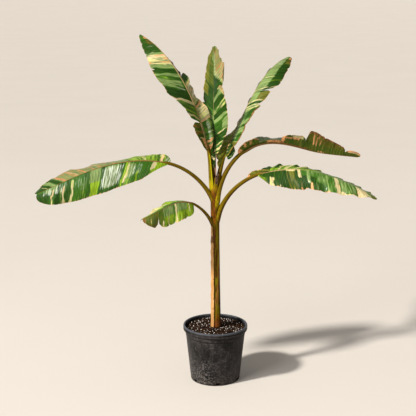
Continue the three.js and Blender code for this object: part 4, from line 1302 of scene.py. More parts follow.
# %% Stem
STEM_ROWS, STEM_ROUND = 150, 72
STRIP_SHADOWS, STRIP_SHADOW_WIDTH = (203, 257), 9.0  # painted shadow, beside the dry strip
STRIP_SHADOW_TOP, STRIP_SHADOW_FADE = 700.0, 30
STEM_PEAK = 42.0  # how far the rolled middle goes on between the stalks
STEM_SLACK = 1.1  # how far inside its solid the skin lies between the wraps
SWELL_LONG, SWELL_SHARP, EDGE_WIDE = 0.7, 0.07, 0.09  # of a wrap, in radians
SUN_BEARING = -35  # the side of the stem that is painted as lit; the far side is painted in shade
WRAPS = [  # bearing of the edge at its foot and top, heights, rise, way it faces
    (-150, -60, 236, 420, 1.4, 1),
    (60, 150, 236, 500, 1.4, 1),
    (-75, -40, 300, 600, 1.3, 1),
    (150, 250, 430, 720, 1.5, 1),
    (-128, -100, 420, 690, 1.6, 1),
    (100, 20, 640, 850, 1.5, 1),
    (-112, -46, 748, 800, 2.4, 1),
    (-60, -122, 796, 852, 2.4, -1),
]


def stem_mesh():
    height = np.linspace(STEM_FOOT, STEM_TOP + STEM_PEAK, STEM_ROWS)
    lean, radius = stem_centre(height)
    radius = radius * (1 - 0.8 * eased((height - STEM_TOP + 8) / (STEM_PEAK + 8)))
    turn = np.linspace(0, 2 * math.pi, STEM_ROUND, endpoint=False)
    reach = np.repeat(radius[:, None], STEM_ROUND, 1)
    edge = np.zeros_like(reach)
    for foot, top, low, high, rise, way in WRAPS:
        share = (height - low) / (high - low)
        at = np.radians(foot + (top - foot) * share)
        past = (way * (turn[None, :] - at[:, None])) % (2 * math.pi)
        shown = eased(share * 6) * eased((1 - share) * 6)
        swell = np.exp(-past / SWELL_LONG) * eased(past / SWELL_SHARP)
        reach = reach + rise * swell * shown[:, None]
        near = np.exp(-(((past + math.pi) % (2 * math.pi) - math.pi) / EDGE_WIDE) ** 2)
        edge = np.maximum(edge, near * shown[:, None])
    reach = reach - STEM_SLACK
    x = lean[:, None] + reach * np.cos(turn)
    y = reach * np.sin(turn)
    z = np.repeat(height[:, None], STEM_ROUND, 1)
    points, faces = skinned(np.stack([x, y, z], -1) * MM)
    sheaf = Sheaf()
    along = np.repeat((height - STEM_FOOT) / (STEM_TOP - STEM_FOOT), STEM_ROUND)
    sunny = np.tile(0.5 + 0.5 * np.cos(turn - math.radians(SUN_BEARING)), STEM_ROWS)
    # Painted shadow: a dark line on each side of the dry strip, up to near its top.
    groove = sum(np.exp(-(((np.degrees(turn) - bearing) / STRIP_SHADOW_WIDTH) ** 2)) for bearing in STRIP_SHADOWS)
    groove = np.outer(eased((STRIP_SHADOW_TOP - height) / STRIP_SHADOW_FADE), groove)
    sheaf.add(points, faces, edge=edge.ravel(), along=along, sunny=sunny, groove=groove.ravel())
    return sheaf.mesh("stem", sharp=55)


STEM_COLOURS = {
    "olive": (0.110, 0.066, 0.002),
    "green": (0.175, 0.145, 0.003),
    "brown": (0.076, 0.027, 0.002),
    "rust": (0.225, 0.066, 0.003),
    "pink": (0.300, 0.070, 0.035),
    # dark is also painted shade: on the stem's far side from the light, at its right edge and beside the
    # dry strip.
    "dark": (0.016, 0.008, 0.003),
    "crown": (0.250, 0.175, 0.004),
}


def stem_finish():
    stem = Finish("stem_skin", Specular_IOR_Level=0.04)
    place = stem.places()
    along, edge = stem.attribute("along"), stem.attribute("edge")
    lines = stem.noise(stem.stretched(place, (190.0, 190.0, 6.0)), 1.0, 3.0)
    patch = stem.noise(stem.stretched(place, (60.0, 60.0, 11.0)), 1.0, 3.0)
    blotch = stem.noise(stem.stretched(place, (110.0, 110.0, 24.0)), 1.0, 3.0)
    # sunny is the side painted as lit; away from it the stem is painted browner and, further on, in shade.
    sunny = stem.attribute("sunny")
    upper = along.ease(0.66, 0.84)
    foot = 1 - along.ease(0.0, 0.15)
    brown = (lines - 0.5) * 3.2 + (blotch - 0.5) * 2.0 + 0.70 - sunny * 0.45 + upper * 0.6
    rust = (blotch - 0.5) * 2.2 + (patch - 0.5) * 1.6 + upper * 0.30 + foot * 0.8
    pink_foot = (1 - along.ease(0.0, 0.07)) * blotch.ease(0.35, 0.6)
    crown = along.ease(0.955, 1.0) * lines.ease(0.35, 0.55)
    colour = stem.coats(
        STEM_COLOURS["olive"],
        STEM_COLOURS,
        (patch.ease(0.42, 0.58), "green"),
        (brown.ease(0.25, 0.75) * 0.9, "brown"),
        (rust.ease(0.10, 0.50) * 0.6, "rust"),
        # Painted shade on the stem's side away from the light.
        ((1 - sunny).ease(0.55, 0.95) * 0.8, "dark"),
        # Painted shade on the stem's right edge.
        (stem.part(place, 0).ease(0.0145, 0.0205) * (0.35 + lines), "dark"),
        (blotch.ease(0.57, 0.66) * 0.75, "dark"),
        # Painted shadow beside the dry strip.
        (stem.attribute("groove") * 0.62, "dark"),
        (edge * blotch.ease(0.30, 0.50) * 0.6, "pink"),
        (pink_foot * 0.6, "pink"),
        (crown * 0.7, "crown"),
    )
    height = lines * 0.8 + blotch * 0.4 + edge * 0.5
    return stem.finish(colour, 0.45 + 0.3 * blotch, height, depth=0.0020, strength=0.8)


STEM = stem_finish()
placed("wrapped_stem", stem_mesh(), STEM, ["stem"])

# %% [markdown]
# ## Dry sheath and withered scraps
#
# The oldest leaf's base has dried to a papery tan strip that still clings to
# the stem, with a ragged edge that has lifted. Between the young stalks sits
# the dark, twisted remnant of a leaf that withered. Both are thin sheets,
# skinned from a few changing numbers.

# %% Ribbons
def ribbon(centres, across, outward, half_width, thick, columns, wave):
    """A thin closed sheet along a path; `wave` lifts it across its width."""
    u = np.linspace(-1, 1, columns)
    middle = centres[:, None] + across[:, None] * (u[None, :, None] * half_width[:, None, None])
    middle = middle + outward[:, None] * wave(u)[:, :, None]
    upper = middle + outward[:, None] * (thick / 2)
    lower = (middle - outward[:, None] * (thick / 2))[:, ::-1]
    return np.concatenate([upper, lower], 1), u


DRY_SHEATH = {
    "foot": 236.8,
    "top": 686.0,
    "bearing": 229.0,
    "widths": [8.2, 8.2, 7.8, 7.8, 7.4, 7.4, 2.5],
}
SHEATH_ROWS, SHEATH_COLUMNS = 150, 9
SHEATH_ROUGH = [(17, 0.05), (52, 0.03), (130, 0.02)]  # how close and deep its edge waves
SHEATH_THICK = 1.4
SHEATH_STAND = 1.2  # how far it stands off the stem, more at its edges
SHEATH_CURL, SHEATH_RIPPLE = 1.5, 0.3


def dry_sheath_mesh():
    rng = np.random.default_rng(7)
    share = np.linspace(0, 1, SHEATH_ROWS)
    height = DRY_SHEATH["foot"] + share * (DRY_SHEATH["top"] - DRY_SHEATH["foot"])
    lean, radius = stem_centre(height)
    half = keyed(DRY_SHEATH["widths"], share)
    rough = sum(
        np.sin(share * pitch + turn) * size
        for (pitch, size), turn in zip(SHEATH_ROUGH, rng.uniform(0, 6, 3))
    )
    half = half * (1 + rough)
    u = np.linspace(-1, 1, SHEATH_COLUMNS)
    base = math.radians(DRY_SHEATH["bearing"])
    curled = np.abs(u[None, :]) ** 3 * (1 + 0.6 * np.sin(share * 60 + 1))[:, None]
    stand = SHEATH_STAND + SHEATH_CURL * curled
    stand = stand + SHEATH_RIPPLE * np.sin(share * 45)[:, None]
    outer, inner = [], []
    for j in range(SHEATH_COLUMNS):
        turn = base + half / (radius + 3) * u[j]
        direction = np.stack([np.cos(turn), np.sin(turn), np.zeros_like(turn)], -1)
        centre = np.stack([lean, np.zeros_like(lean), height], -1)
        reach = radius + 0.4 + stand[:, j]
        outer.append(centre + direction * (reach + SHEATH_THICK / 2)[:, None])
        inner.insert(0, centre + direction * (reach - SHEATH_THICK / 2)[:, None])
    points, faces = skinned(np.stack(outer + inner, 1) * MM)
    sheaf = Sheaf()
    sheaf.add(points, faces, along=np.repeat(share, 2 * SHEATH_COLUMNS))
    return sheaf.mesh("dry_sheath", sharp=60)


def dry_finish(name, light, middle, dark, streaks):
    dry = Finish(name, Specular_IOR_Level=0.3)
    place = dry.places()
    lines = dry.noise(dry.stretched(place, streaks), 1.0, 4.0)
    patch = dry.noise(place, 60.0, 3.0)
    colour = dry.mix(lines.ease(0.35, 0.65), middle, light)
    along = dry.attribute("along")
    notch = along.ease(0.82, 0.85) * (1 - along.ease(0.89, 0.92)) * patch.ease(0.3, 0.5)
    shadow = ((lines - 0.5) + (patch - 0.5) * 1.4).ease(0.12, 0.38)
    colour = dry.mix(shadow.most(notch * 0.9), colour, dark)
    return dry.finish(colour, 0.65 + 0.25 * lines, lines, depth=0.0015, strength=0.8)


DRY_COLOURS = (0.60, 0.36, 0.14), (0.42, 0.19, 0.05), (0.10, 0.04, 0.012)
DRY = dry_finish("dry_sheath_skin", *DRY_COLOURS, (420.0, 420.0, 9.0))
placed("dry_strip", dry_sheath_mesh(), DRY, ["dry_sheath"])

SCRAP_ROWS, SCRAP_COLUMNS, SCRAP_THICK = 40, 7, 0.9
SCRAP_FOOT = np.array([3, -6, 850.4])
SCRAPS = [  # lean across and away, height, half width, bearing, twist
    (-6, 0, 88, 7.0, 20, 130),
    (9, -4, 62, 5.0, 70, -90),
    (-1, -9, 48, 4.5, 140, 80),
]


def scrap_mesh():
    sheaf = Sheaf()
    rng = np.random.default_rng(11)
    share = np.linspace(0, 1, SCRAP_ROWS)
    for lean_x, lean_y, tall, wide, turn, twist in SCRAPS:
        spin = np.radians(turn + twist * share)
        across = np.stack([np.cos(spin), np.sin(spin), 0 * spin], -1)
        outward = np.stack([-np.sin(spin), np.cos(spin), 0 * spin], -1)
        run = np.stack([lean_x * share**2, lean_y * share**2, tall * share], -1)
        half = wide * np.sin(np.clip(0.15 + share * 0.85, 0, 1) * math.pi) ** 0.5 + 0.5
        pucker = (9 * share + rng.uniform(0, 6))[:, None]
        rings, _ = ribbon(
            SCRAP_FOOT + run, across, outward, half, SCRAP_THICK, SCRAP_COLUMNS,
            lambda u: 1.6 * np.sin(5 * u[None, :] + pucker),
        )
        sheaf.add(*skinned(rings * MM))
    return sheaf.mesh("withered_scrap", sharp=60)


WITHERED_COLOURS = (0.30, 0.17, 0.11), (0.085, 0.045, 0.022), (0.012, 0.009, 0.006)
WITHERED = dry_finish("withered_skin", *WITHERED_COLOURS, (240.0, 240.0, 30.0))
placed("withered_leaf", scrap_mesh(), WITHERED, ["withered_scrap"])

# %% [markdown]
# ## Four small lobes
#
# A blade rarely stops cleanly. Where the lowest right blade begins, a little
# olive lobe stands on the stalk. Another runs down beside the stalk of the
# upper right leaf; its bright olive is partly painted light, the glow of a
# blade lit through from behind. A third closes the foot of the middle one.
# Behind the stalks hangs a scrap of an old blade, striped, and painted
# near-black for the deep shade it hangs in. Each is one thin skin, painted
# with the same kinds as the leaves.

# %% Lobes
LOBE_ROWS, LOBE_COLUMNS = 34, 9
HANGING_TOP, HANGING_RUN, HANGING_SWAY = np.array([63, 12, 1036]), (-9, 0, -68), 5
CLOSING_TOP, CLOSING_RUN = np.array([-10, 7, 992]), (2, -2, -62)
LOBE_LEAST = 0.8  # a lobe's least half width
LOBE_SHARE = np.linspace(0, 1, LOBE_ROWS)


def lobe_mesh(name, centres, across, outward, half, kinds):
    """A small blade on a path; kinds(share, u) gives what is painted on it."""
    across, outward = (np.broadcast_to(way, centres.shape) for way in (across, outward))
    pucker = LOBE_SHARE * 17
    rings, u = ribbon(
        centres, across, outward, half, LEAF_THICK, LOBE_COLUMNS,
        lambda u: 1.5 * np.sin(3 * u[None, :] + pucker[:, None]),
    )
    points, faces = skinned(rings * MM)
    u = np.concatenate([u, u[::-1]])
    share = np.repeat(LOBE_SHARE, len(u))
    u = np.tile(u, len(centres))
    sheaf = Sheaf()
    painted = {kind: np.zeros_like(u) for kind in KINDS} | kinds(share, u)
    sheaf.add(points, faces, face=np.ones_like(u), **painted)
    mesh = sheaf.mesh(name, sharp=60)
    length = np.linalg.norm(centres[-1] - centres[0])
    lay_out(mesh, VEIN_MAP, share * length * MM, u * half.max() * MM)
    return mesh


def standing_lobe():
    leaf, neck = LEAVES["lower_right"], 0.7  # where on the lobe the blade begins
    share = LOBE_SHARE
    on_stalk, on_blade = share < neck, share >= neck
    before = stalk_path(leaf, 0.82 + 0.18 * share[on_stalk] / neck)
    after = blade_path(leaf, 0.10 * (share[on_blade] - neck) / (1 - neck))
    point, _, left, up = (np.vstack([a, b]) for a, b in zip(before, after))
    half = LOBE_LEAST + 8.2 * np.sin(np.clip(share * 1.1, 0, 1) * math.pi * 0.86) ** 0.8
    lifted = point + up * (2.0 + half)[:, None] - left * 5

    def kinds(share, u):
        return {
            "olive": 1 - 0.3 * share,
            "pale": 0.35 * eased((0.4 - share) * 4),
            "light": 0.9 * eased((share - 0.1) * 3) * eased((0.9 - share) * 4),
            "warm": 0.9 * eased((0.40 - share) / 0.3) + 0.5 * eased((u - 0.6) / 0.2),
            "dark": 1.3 * eased((share - 0.74) / 0.10),
        }

    return lobe_mesh("standing", lifted, up, -left, half, kinds)


def running_lobe():
    leaf, neck = LEAVES["upper_right"], 0.75
    share = LOBE_SHARE
    before = stalk_path(leaf, 0.46 + 0.54 * share[share < neck] / neck)[0]
    after = blade_path(leaf, 0.36 * (share[share >= neck] - neck))[0]
    point = np.vstack([before, after])
    aside, facing = np.array([-0.86, -0.50, 0.0]), np.array([0.50, -0.86, 0.0])
    half = LOBE_LEAST + 12.5 * eased(share * 1.7) * (1 - 0.45 * eased((share - 0.72) / 0.28))
    middle = point + aside * (half + 1)[:, None] + facing * 6

    def kinds(share, u):
        return {
            # The bright olive is partly painted light: the glow of a blade lit through from behind.
            "olive": 1 - 0.2 * share,
            "light": 0.62 * eased((0.5 - np.abs(u)) * 3 + 0.3),
            "warm": 0.9 * eased((u - 0.78) / 0.15) * eased((0.75 - share) * 6),
        }

    return lobe_mesh("running", middle, aside, facing, half, kinds)


def hanging_lobe():
    share = LOBE_SHARE
    sway = np.outer(HANGING_SWAY * np.sin(share * 3), (1, 0, 0))
    centres = HANGING_TOP + np.outer(share, HANGING_RUN) + sway
    half = LOBE_LEAST + 17.5 * np.sin(np.clip(0.05 + 0.93 * share, 0, 1) * math.pi) ** 0.7

    def kinds(share, u):
        slant = share * 5 + u * 0.5
        return {
            # Painted shade: the scrap is near-black for the deep shade it hangs in.
            "dark": 0.95 + 0 * u,
            "pale": 0.5 * eased((np.sin(slant * 2 * math.pi) - 0.7) * 4),
            "warm": 0.8 * eased((np.abs(u) - 0.8) / 0.15) * eased((0.5 - share) * 3),
        }

    return lobe_mesh("hanging", centres, (0.94, -0.34, 0), (-0.34, -0.94, 0), half, kinds)


def closing_lobe():
    share = LOBE_SHARE
    centres = CLOSING_TOP + np.outer(share, CLOSING_RUN)
    half = LOBE_LEAST + 8.5 * (1 - share) ** 0.7

    def kinds(share, u):
        return {
            "dark": 0.9 + 0 * u,
            "pale": 0.7 * eased((0.14 - np.abs(share - 0.3 - 0.1 * u)) / 0.06),
            "grey": 0.6 * eased((share - 0.5) / 0.3),
        }

    return lobe_mesh("closing", centres, (1, 0, 0), (0, -1, 0), half, kinds)


LOBES = (closing_lobe(), standing_lobe(), running_lobe(), hanging_lobe())
for mesh in LOBES:
    placed("lobe_" + mesh.name, mesh, LEAF)

# %% [markdown]
# ## The nursery pot
#
# The pot is blown or moulded black plastic: a tapering wall, a shallow
# shoulder band, a deep rolled rim, and drain holes where the wall meets the
# floor. It is turned from one profile. The drain holes are cut through with
# flattened rounds. Handling leaves it dusty, with faint scuffs round the
# wall. The rim is a little smoother, and its top is painted paler and
# bluish, a painted highlight. Thin dark lines of painted shade run under the
# rim, at the foot of the shoulder band and in the rim's groove.

# %% Pot
POT_HEIGHT, RIM_HEIGHT, BAND_HEIGHT = 245.0, 22.0, 18.0
BASE_RADIUS, SHOULDER_RADIUS, BAND_RADIUS = 107.0, 128.5, 130.0
RIM_RADIUS, MOUTH_RADIUS = 140.0, 131.0
WALL, FLOOR = 2.8, 3.0
DRAIN_COUNT, DRAIN_WIDTH, DRAIN_HEIGHT, DRAIN_TURN = 6, 26.0, 10.0, -84.0
DRAIN_ROUND, DRAIN_DEPTH = 32, 18.0
POT_ROUND = 192


def turned(profile, count):
    """A closed surface turned from [radius, height] points, poles closed."""
    profile = np.asarray(profile, float)
    inner = profile[1:-1]
    poles = [[0, 0, profile[0, 1]], [0, 0, profile[-1, 1]]]
    points = np.vstack([round_points(inner[:, 0], inner[:, 1], count), poles])
    index, following = ringed(len(inner), count)
    sides = np.stack([index[:-1], following[:-1], following[1:], index[1:]], -1)
    low, high = len(points) - 2, len(points) - 1
    foot = [(low, int(b), int(a)) for a, b in zip(index[0], following[0])]
    top = [(high, int(a), int(b)) for a, b in zip(index[-1], following[-1])]
    return points, sides.reshape(-1, 4).tolist() + foot + top


def rounded(profile, radius, steps=4):
    """Rounds the corners of a profile."""
    points = [np.asarray(p, float) for p in profile]
    made = [points[0]]
    for before, corner, after in zip(points[:-2], points[1:-1], points[2:]):
        reach = [min(radius, np.linalg.norm(side - corner) * 0.4) for side in (before, after)]
        start = corner + (before - corner) / np.linalg.norm(before - corner) * reach[0]
        end = corner + (after - corner) / np.linalg.norm(after - corner) * reach[1]
        for k in range(steps + 1):
            s = k / steps
            made.append((1 - s) ** 2 * start + 2 * s * (1 - s) * corner + s * s * end)
    made.append(points[-1])
    return made


def pot_profile():
    rim_foot = POT_HEIGHT - RIM_HEIGHT
    band_foot = rim_foot - BAND_HEIGHT
    return rounded(
        [
            (0, 0), (BASE_RADIUS - 12, 0), (BASE_RADIUS - 10, 1.2), (BASE_RADIUS - 4, 1.2),
            (BASE_RADIUS - 3, 0), (BASE_RADIUS - 0.5, 0), (BASE_RADIUS + 0.3, 3),
            ((BASE_RADIUS + SHOULDER_RADIUS) / 2, band_foot / 2), (SHOULDER_RADIUS, band_foot - 1),
            (BAND_RADIUS, band_foot + 2), (BAND_RADIUS + 0.2, rim_foot - 8),
            (BAND_RADIUS - 0.5, rim_foot - 6.5), (BAND_RADIUS + 0.4, rim_foot - 5),
            (BAND_RADIUS + 0.5, rim_foot), (RIM_RADIUS - 1.5, rim_foot + 0.8),
            (RIM_RADIUS - 0.4, rim_foot + 4), (RIM_RADIUS - 0.6, rim_foot + 9),
            (RIM_RADIUS - 2.4, rim_foot + 10.4), (RIM_RADIUS - 2.4, rim_foot + 11.6),
            (RIM_RADIUS - 0.2, rim_foot + 13), (RIM_RADIUS, POT_HEIGHT - 5),
            (RIM_RADIUS - 1.2, POT_HEIGHT - 1.2), (RIM_RADIUS - 4, POT_HEIGHT),
            (MOUTH_RADIUS + 2, POT_HEIGHT), (MOUTH_RADIUS, POT_HEIGHT - 2.5),
            (MOUTH_RADIUS - 1, rim_foot), (SHOULDER_RADIUS - WALL, band_foot - 2),
            (BASE_RADIUS + 0.3 - WALL, FLOOR), (0, FLOOR),
        ],
        1.0,
    )


def drain_cutter():
    cutter = bmesh.new()
    for k in range(DRAIN_COUNT):
        turn = math.radians(DRAIN_TURN + k * 360 / DRAIN_COUNT)
        place = (
            Matrix.Rotation(turn, 4, "Z")
            @ Matrix.Translation((BASE_RADIUS * MM, 0, (FLOOR + 1 + DRAIN_HEIGHT / 2) * MM))
            @ Matrix.Diagonal((1, 1, DRAIN_HEIGHT / DRAIN_WIDTH, 1))
            @ Matrix.Rotation(math.radians(90), 4, "Y")
        )
        bmesh.ops.create_cone(
            cutter,
            cap_ends=True,
            segments=DRAIN_ROUND,
            radius1=DRAIN_WIDTH / 2 * MM,
            radius2=DRAIN_WIDTH / 2 * MM,
            depth=DRAIN_DEPTH * MM,
            matrix=place,
        )
    mesh = bpy.data.meshes.new("drain_cutter")
    cutter.to_mesh(mesh)
    cutter.free()
    return mesh


def pot_mesh():
    points, faces = turned(pot_profile(), POT_ROUND)
    body = put("pot_body", meshed("pot", points * MM, faces))
    tool = put("pot_tool", drain_cutter())
    cut = body.modifiers.new("drains", "BOOLEAN")
    cut.operation = "DIFFERENCE"
    cut.solver = "EXACT"
    cut.object = tool
    made = settled(body)
    for thing in (body, tool):
        bpy.data.objects.remove(thing)
    made.shade_smooth()
    made.set_sharp_from_angle(angle=math.radians(35))
    return made


POT_COLOURS = {
    "black": (0.0050, 0.0046, 0.0048),
    "worn": (0.0180, 0.0160, 0.0156),
    "dust": (0.080, 0.072, 0.073),
    "mud": (0.090, 0.074, 0.060),
    "smear": (0.066, 0.060, 0.058),
    "scratch": (0.100, 0.093, 0.088),
    "speck": (0.170, 0.158, 0.152),
    "scuff": (0.150, 0.138, 0.134),
    # The rim colour is a painted highlight.
    "rim_highlight": (0.080, 0.090, 0.112),
    # The line colour is painted shade, in the creases of the rim and the band.
    "shade_line": (0.004, 0.004, 0.004),
}
POT_RIM_HIGHLIGHT = (0.2365, 0.2445)  # heights between which the rim is painted with a pale, bluish highlight, in metres
POT_SHADE_LINES = [  # heights where a line of painted shade starts, is full, thins and ends; how dark
    (0.2180, 0.2195, 0.2240, 0.2260, 0.9),  # under the rim
    (0.1995, 0.2010, 0.2045, 0.2065, 0.8),  # at the foot of the shoulder band
    (0.2305, 0.2320, 0.2350, 0.2370, 0.6),  # in the groove of the rim
]


def pot_finish():
    pot = Finish("pot_plastic", Specular_IOR_Level=0.12)
    place = pot.places()
    side, height = pot.part(place, 0), pot.part(place, 2)
    cloud = pot.noise(place, 9.0, 4.0)
    mottle = pot.noise(place, 46.0, 5.0, 0.7)
    patchy = pot.noise(place, 120.0, 4.0, 0.65)
    speck = pot.noise(place, 240.0, 3.0, 0.7)
    grain = pot.noise(place, 900.0, 2.0)
    round_lines = pot.noise(pot.stretched(place, (4.0, 4.0, 260.0)), 1.0, 2.0)
    scratch = pot.noise(pot.stretched(place, (30.0, 30.0, 420.0)), 1.0, 5.0)
    smear = pot.noise(pot.stretched(place, (70.0, 70.0, 14.0)), 1.0, 4.0)
    dust = ((mottle - 0.5) * 2.0 + (patchy - 0.5) * 2.0 + (cloud - 0.5) * 2.0).ease(0.0, 0.85)
    low = 1 - height.ease(0.0, 0.08)
    scuffed = (1 - height.ease(0.06, 0.15)) * (1 - side.ease(-0.045, 0.015))
    scuffed = scuffed * (patchy.ease(0.46, 0.62) * 0.6 + speck.ease(0.52, 0.64) * 0.4)
    # Painted highlight on the top of the rim.
    rim_highlight = height.ease(*POT_RIM_HIGHLIGHT)
    # Painted shade: dark lines in the creases of the rim and the shoulder band.
    shade_lines = [
        (height.ease(start, full) * (1 - height.ease(thinning, end)) * amount, "shade_line")
        for start, full, thinning, end, amount in POT_SHADE_LINES
    ]
    colour = pot.coats(
        POT_COLOURS["black"],
        POT_COLOURS,
        (cloud.ease(0.38, 0.62), "worn"),
        (dust * 0.62, "dust"),
        (low * patchy.ease(0.45, 0.62) * 0.5, "mud"),
        (smear.ease(0.52, 0.67) * 0.25, "smear"),
        (scratch.ease(0.60, 0.68) * 0.4, "scratch"),
        (speck.ease(0.60, 0.68) * 0.35, "speck"),
        (scuffed * 0.75, "scuff"),
        (rim_highlight * 0.75, "rim_highlight"),
        *shade_lines,
    )
    roughness = 0.44 + 0.30 * dust - 0.10 * rim_highlight
    relief = round_lines * 0.5 + grain * 0.25 + mottle * 0.6
    return pot.finish(colour, roughness, relief, depth=0.0010, strength=0.6)


POT = pot_finish()
placed("pot", pot_mesh(), POT, ["nursery_pot"])

# %% [markdown]
# ## The potting mix
#
# The mix is composted bark with perlite, the white grains of puffed glass
# that keep it open. The body is a filled form with a lumpy top. A tree of
# nodes then strews bark chips and perlite over the top: it drops points on
# the surface, stands a small chip on each, and turns and scales it at
# random. A fixed seed gives the same pot each time.

# %% Mix body
SOIL_EDGE, SOIL_CROWN, SOIL_CROWN_RADIUS = 229.0, 235.0, 34.0
MIX_ROUND, MIX_ROWS = 96, 46
MIX_DROP = 2  # how far the body's top lies below the chips
LUMPS, LUMP, CRUMB = 9, 0.7, 0.8  # waves on the top, their height, and the crumbs


def mix_profile():
    rim_foot = POT_HEIGHT - RIM_HEIGHT
    band_foot = rim_foot - BAND_HEIGHT
    below = [
        (0, FLOOR + 0.3),
        (BASE_RADIUS - WALL - 0.6, FLOOR + 0.3),
        (SHOULDER_RADIUS - WALL - 0.8, band_foot - 2),
        (MOUTH_RADIUS - 1.8, rim_foot),
        (MOUTH_RADIUS - 1.6, SOIL_EDGE - MIX_DROP),
    ]  # a hair inside the pot's wall all the way
    radii = np.linspace(MOUTH_RADIUS - 1.6, 3, MIX_ROWS)
    share = eased((MOUTH_RADIUS - radii) / (MOUTH_RADIUS - SOIL_CROWN_RADIUS))
    tops = SOIL_EDGE - MIX_DROP + (SOIL_CROWN - SOIL_EDGE) * share
    return below + list(zip(radii[1:], tops[1:])) + [(0, SOIL_CROWN - MIX_DROP)]


def mix_mesh():
    points, faces = turned(mix_profile(), MIX_ROUND)
    rng = np.random.default_rng(5)
    turn = rng.uniform(0, 2 * math.pi, (LUMPS, 2))
    waves = rng.uniform(-0.16, 0.16, (LUMPS, 2))
    lump = sum(
        np.sin(points[:, 0] * wave[0] + a[0]) * np.sin(points[:, 1] * wave[1] + a[1])
        for wave, a in zip(waves, turn)
    )
    radius = np.hypot(points[:, 0], points[:, 1])
    on_top = (points[:, 2] > SOIL_EDGE - 4) & (radius < MOUTH_RADIUS - 4)
    crumb = rng.uniform(-CRUMB, CRUMB, len(points))
    points[:, 2] += np.where(on_top, lump * LUMP + crumb, 0)
    mesh = meshed("mix", points * MM, faces)
    mesh.shade_smooth()
    return mesh


MIX_SHADE = (0.0008, 0.0006, 0.0005)
MIX_SHADE_HEIGHTS = (0.10, 0.20)  # heights between which painted shade darkens the mix downwards, deep in the pot


def crumb_finish(name, dark, light, stain, rough):
    crumb = Finish(name, Specular_IOR_Level=0.06)
    place = crumb.places()
    height = crumb.part(place, 2)
    lump = crumb.noise(place, 90.0, 4.0)
    grain = crumb.noise(place, 420.0, 4.0)
    colour = crumb.mix(lump.ease(0.35, 0.65), dark, light)
    colour = crumb.mix(grain.ease(0.52, 0.68) * 0.7, colour, stain)
    # Painted shade: the mix darkens deep in the pot, where it shows through the drain holes.
    colour = crumb.mix(1 - height.ease(*MIX_SHADE_HEIGHTS), colour, MIX_SHADE)
    return crumb.finish(colour, rough, grain + lump * 0.6, depth=0.002, strength=0.9)


MIX = crumb_finish("mix_crumb", (0.004, 0.0026, 0.002), (0.014, 0.008, 0.006), (0.022, 0.013, 0.009), 0.9)
BARK = crumb_finish("bark_chip", (0.004, 0.0026, 0.002), (0.062, 0.030, 0.015), (0.005, 0.003, 0.002), 0.8)
PERLITE = crumb_finish("perlite", (0.80, 0.78, 0.75), (0.90, 0.88, 0.86), (0.66, 0.63, 0.58), 0.8)
soil = mix_mesh()
placed("potting_mix_body", soil, MIX, ["potting_mix"])

# %% Chips and perlite by Geometry Nodes
CHIP_NEAR_STEM, CHIP_NEAR_WALL = 0.026, 0.1265
GRAIN_LIFT = 2.0  # perlite is light and floats to the top
CHIP_SINK = 0.6  # how far the chips' ground lies below the top of the solid
CHIP_TILT = 0.6  # how far a chip leans, in radians
SOIL_GRID = (22, 60)  # rings, and points in each
GRAIN_ROUGH = (0.75, 1.2)  # how far a corner may move in or out


def strewn_tree():
    inputs = {"Grain": "Object", "Density": "Float", "Spacing": "Float", "Smallest": "Vector"}
    inputs |= {"Largest": "Vector", "Seed": "Int", "Material": "Material"}
    strewn = Shaper("Strewn", inputs)
    seed = strewn.given("Seed")
    points = strewn.node(
        "GeometryNodeDistributePointsOnFaces",
        {"distribute_method": "POISSON"},
        {
            "Mesh": strewn.given("Geometry"),
            "Distance Min": strewn.given("Spacing"),
            "Density Max": strewn.given("Density"),
            "Seed": seed,
        },
    )
    grain = strewn.node(
        "GeometryNodeObjectInfo", None, {"Object": strewn.given("Grain")}, out="Geometry"
    )

    def random_between(low, high):
        settings = {"data_type": "FLOAT_VECTOR"}
        return strewn.node("FunctionNodeRandomValue", settings, {0: low, 1: high, "Seed": seed})

    turn = random_between((-CHIP_TILT, -CHIP_TILT, 0.0), (CHIP_TILT, CHIP_TILT, 6.28))
    size = random_between(strewn.given("Smallest"), strewn.given("Largest"))
    placed_grains = strewn.node(
        "GeometryNodeInstanceOnPoints",
        None,
        {"Points": points, "Instance": grain, "Rotation": turn, "Scale": size},
    )
    strewn.end(placed_grains)
    return strewn


def soil_top(lift):
    """The open face of the mix, where chips can lie."""
    rows, turns = SOIL_GRID
    radii = np.linspace(CHIP_NEAR_STEM, CHIP_NEAR_WALL, rows)
    share = eased((MOUTH_RADIUS * MM - radii) / ((MOUTH_RADIUS - SOIL_CROWN_RADIUS) * MM))
    height = (SOIL_EDGE - CHIP_SINK + lift + (SOIL_CROWN - SOIL_EDGE - CHIP_SINK) * share) * MM
    return round_sheet("soil_top", radii, height, turns, False)


def grain_object(name, seed, squash):
    """One small jagged lump of twenty faces, a unit across."""
    rng = np.random.default_rng(seed)
    lump = bmesh.new()
    bmesh.ops.create_icosphere(lump, subdivisions=1, radius=0.5)
    for vertex in lump.verts:
        vertex.co *= rng.uniform(*GRAIN_ROUGH)
        vertex.co.x *= squash[0]
        vertex.co.y *= squash[1]
        vertex.co.z *= squash[2]
    mesh = bpy.data.meshes.new(name)
    lump.to_mesh(mesh)
    lump.free()
    return put(name, mesh)


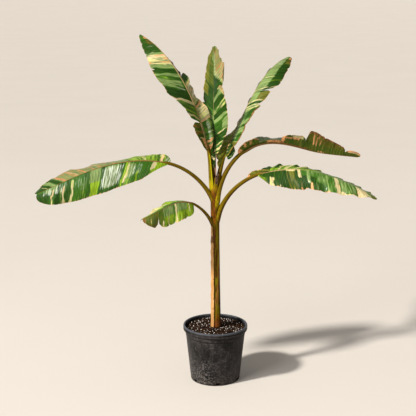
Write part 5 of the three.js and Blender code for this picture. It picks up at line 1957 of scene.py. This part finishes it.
STREWN = strewn_tree()
print("strewn tree:", len(STREWN.tree.nodes), "nodes")
STREWINGS = [  # name, seed, squash, density, spacing, smallest, largest, finish
    ("bark_small", 21, (1, 0.7, 0.4), 42000, 0.0026, 0.004, 0.009, BARK),
    ("bark_large", 22, (1, 0.55, 0.3), 7000, 0.0075, 0.009, 0.017, BARK),
    ("perlite_grains", 23, (1, 0.95, 1.0), 3300, 0.0072, 0.0011, 0.0052, PERLITE),
]
for name, seed, squash, density, spacing, small, large, finish in STREWINGS:
    grain = grain_object(name + "_one", seed, squash)
    made = STREWN.grown(
        name,
        soil_top(GRAIN_LIFT if finish is PERLITE else 0),
        Grain=grain,
        Density=float(density),
        Spacing=spacing,
        Smallest=(small,) * 3,
        Largest=(large,) * 3,
        Seed=seed,
        Material=finish,
    )
    bpy.data.objects.remove(grain)
    placed(name, made, finish)

# %% [markdown]
# ## The floor
#
# A plain pale floor takes the shadows. It isn't part of the plant.

# %% Floor
FLOOR_FLAT, FLOOR_REACH, FLOOR_RISE = 8.0, 400.0, 80.0
FLOOR_ROUND, FLOOR_ROWS = 96, 30
FLOOR_GAP = 0.0004  # between the floor and the pot's foot


def floor_finish():
    floor = Finish("studio_floor", Specular_IOR_Level=0.2)
    place = floor.places()
    cloud = floor.noise(place, 0.7, 3.0)
    colour = floor.mix(cloud, (0.620, 0.584, 0.545), (0.662, 0.624, 0.583))
    return floor.finish(colour, 0.85)


def floor_mesh():
    """Flat round the pot, then a very shallow dish, so no edge shows."""
    outer = np.geomspace(FLOOR_FLAT * 1.5, FLOOR_REACH, FLOOR_ROWS)
    radius = np.concatenate([[0.001, FLOOR_FLAT], outer])
    rise = FLOOR_RISE * np.clip((radius - FLOOR_FLAT) / FLOOR_REACH, 0, 1) ** 2 - FLOOR_GAP
    mesh = round_sheet("studio_floor", radius, rise, FLOOR_ROUND, True)
    mesh.shade_smooth()
    mesh.materials.append(floor_finish())
    return mesh


studio_floor = put("studio_floor", floor_mesh())
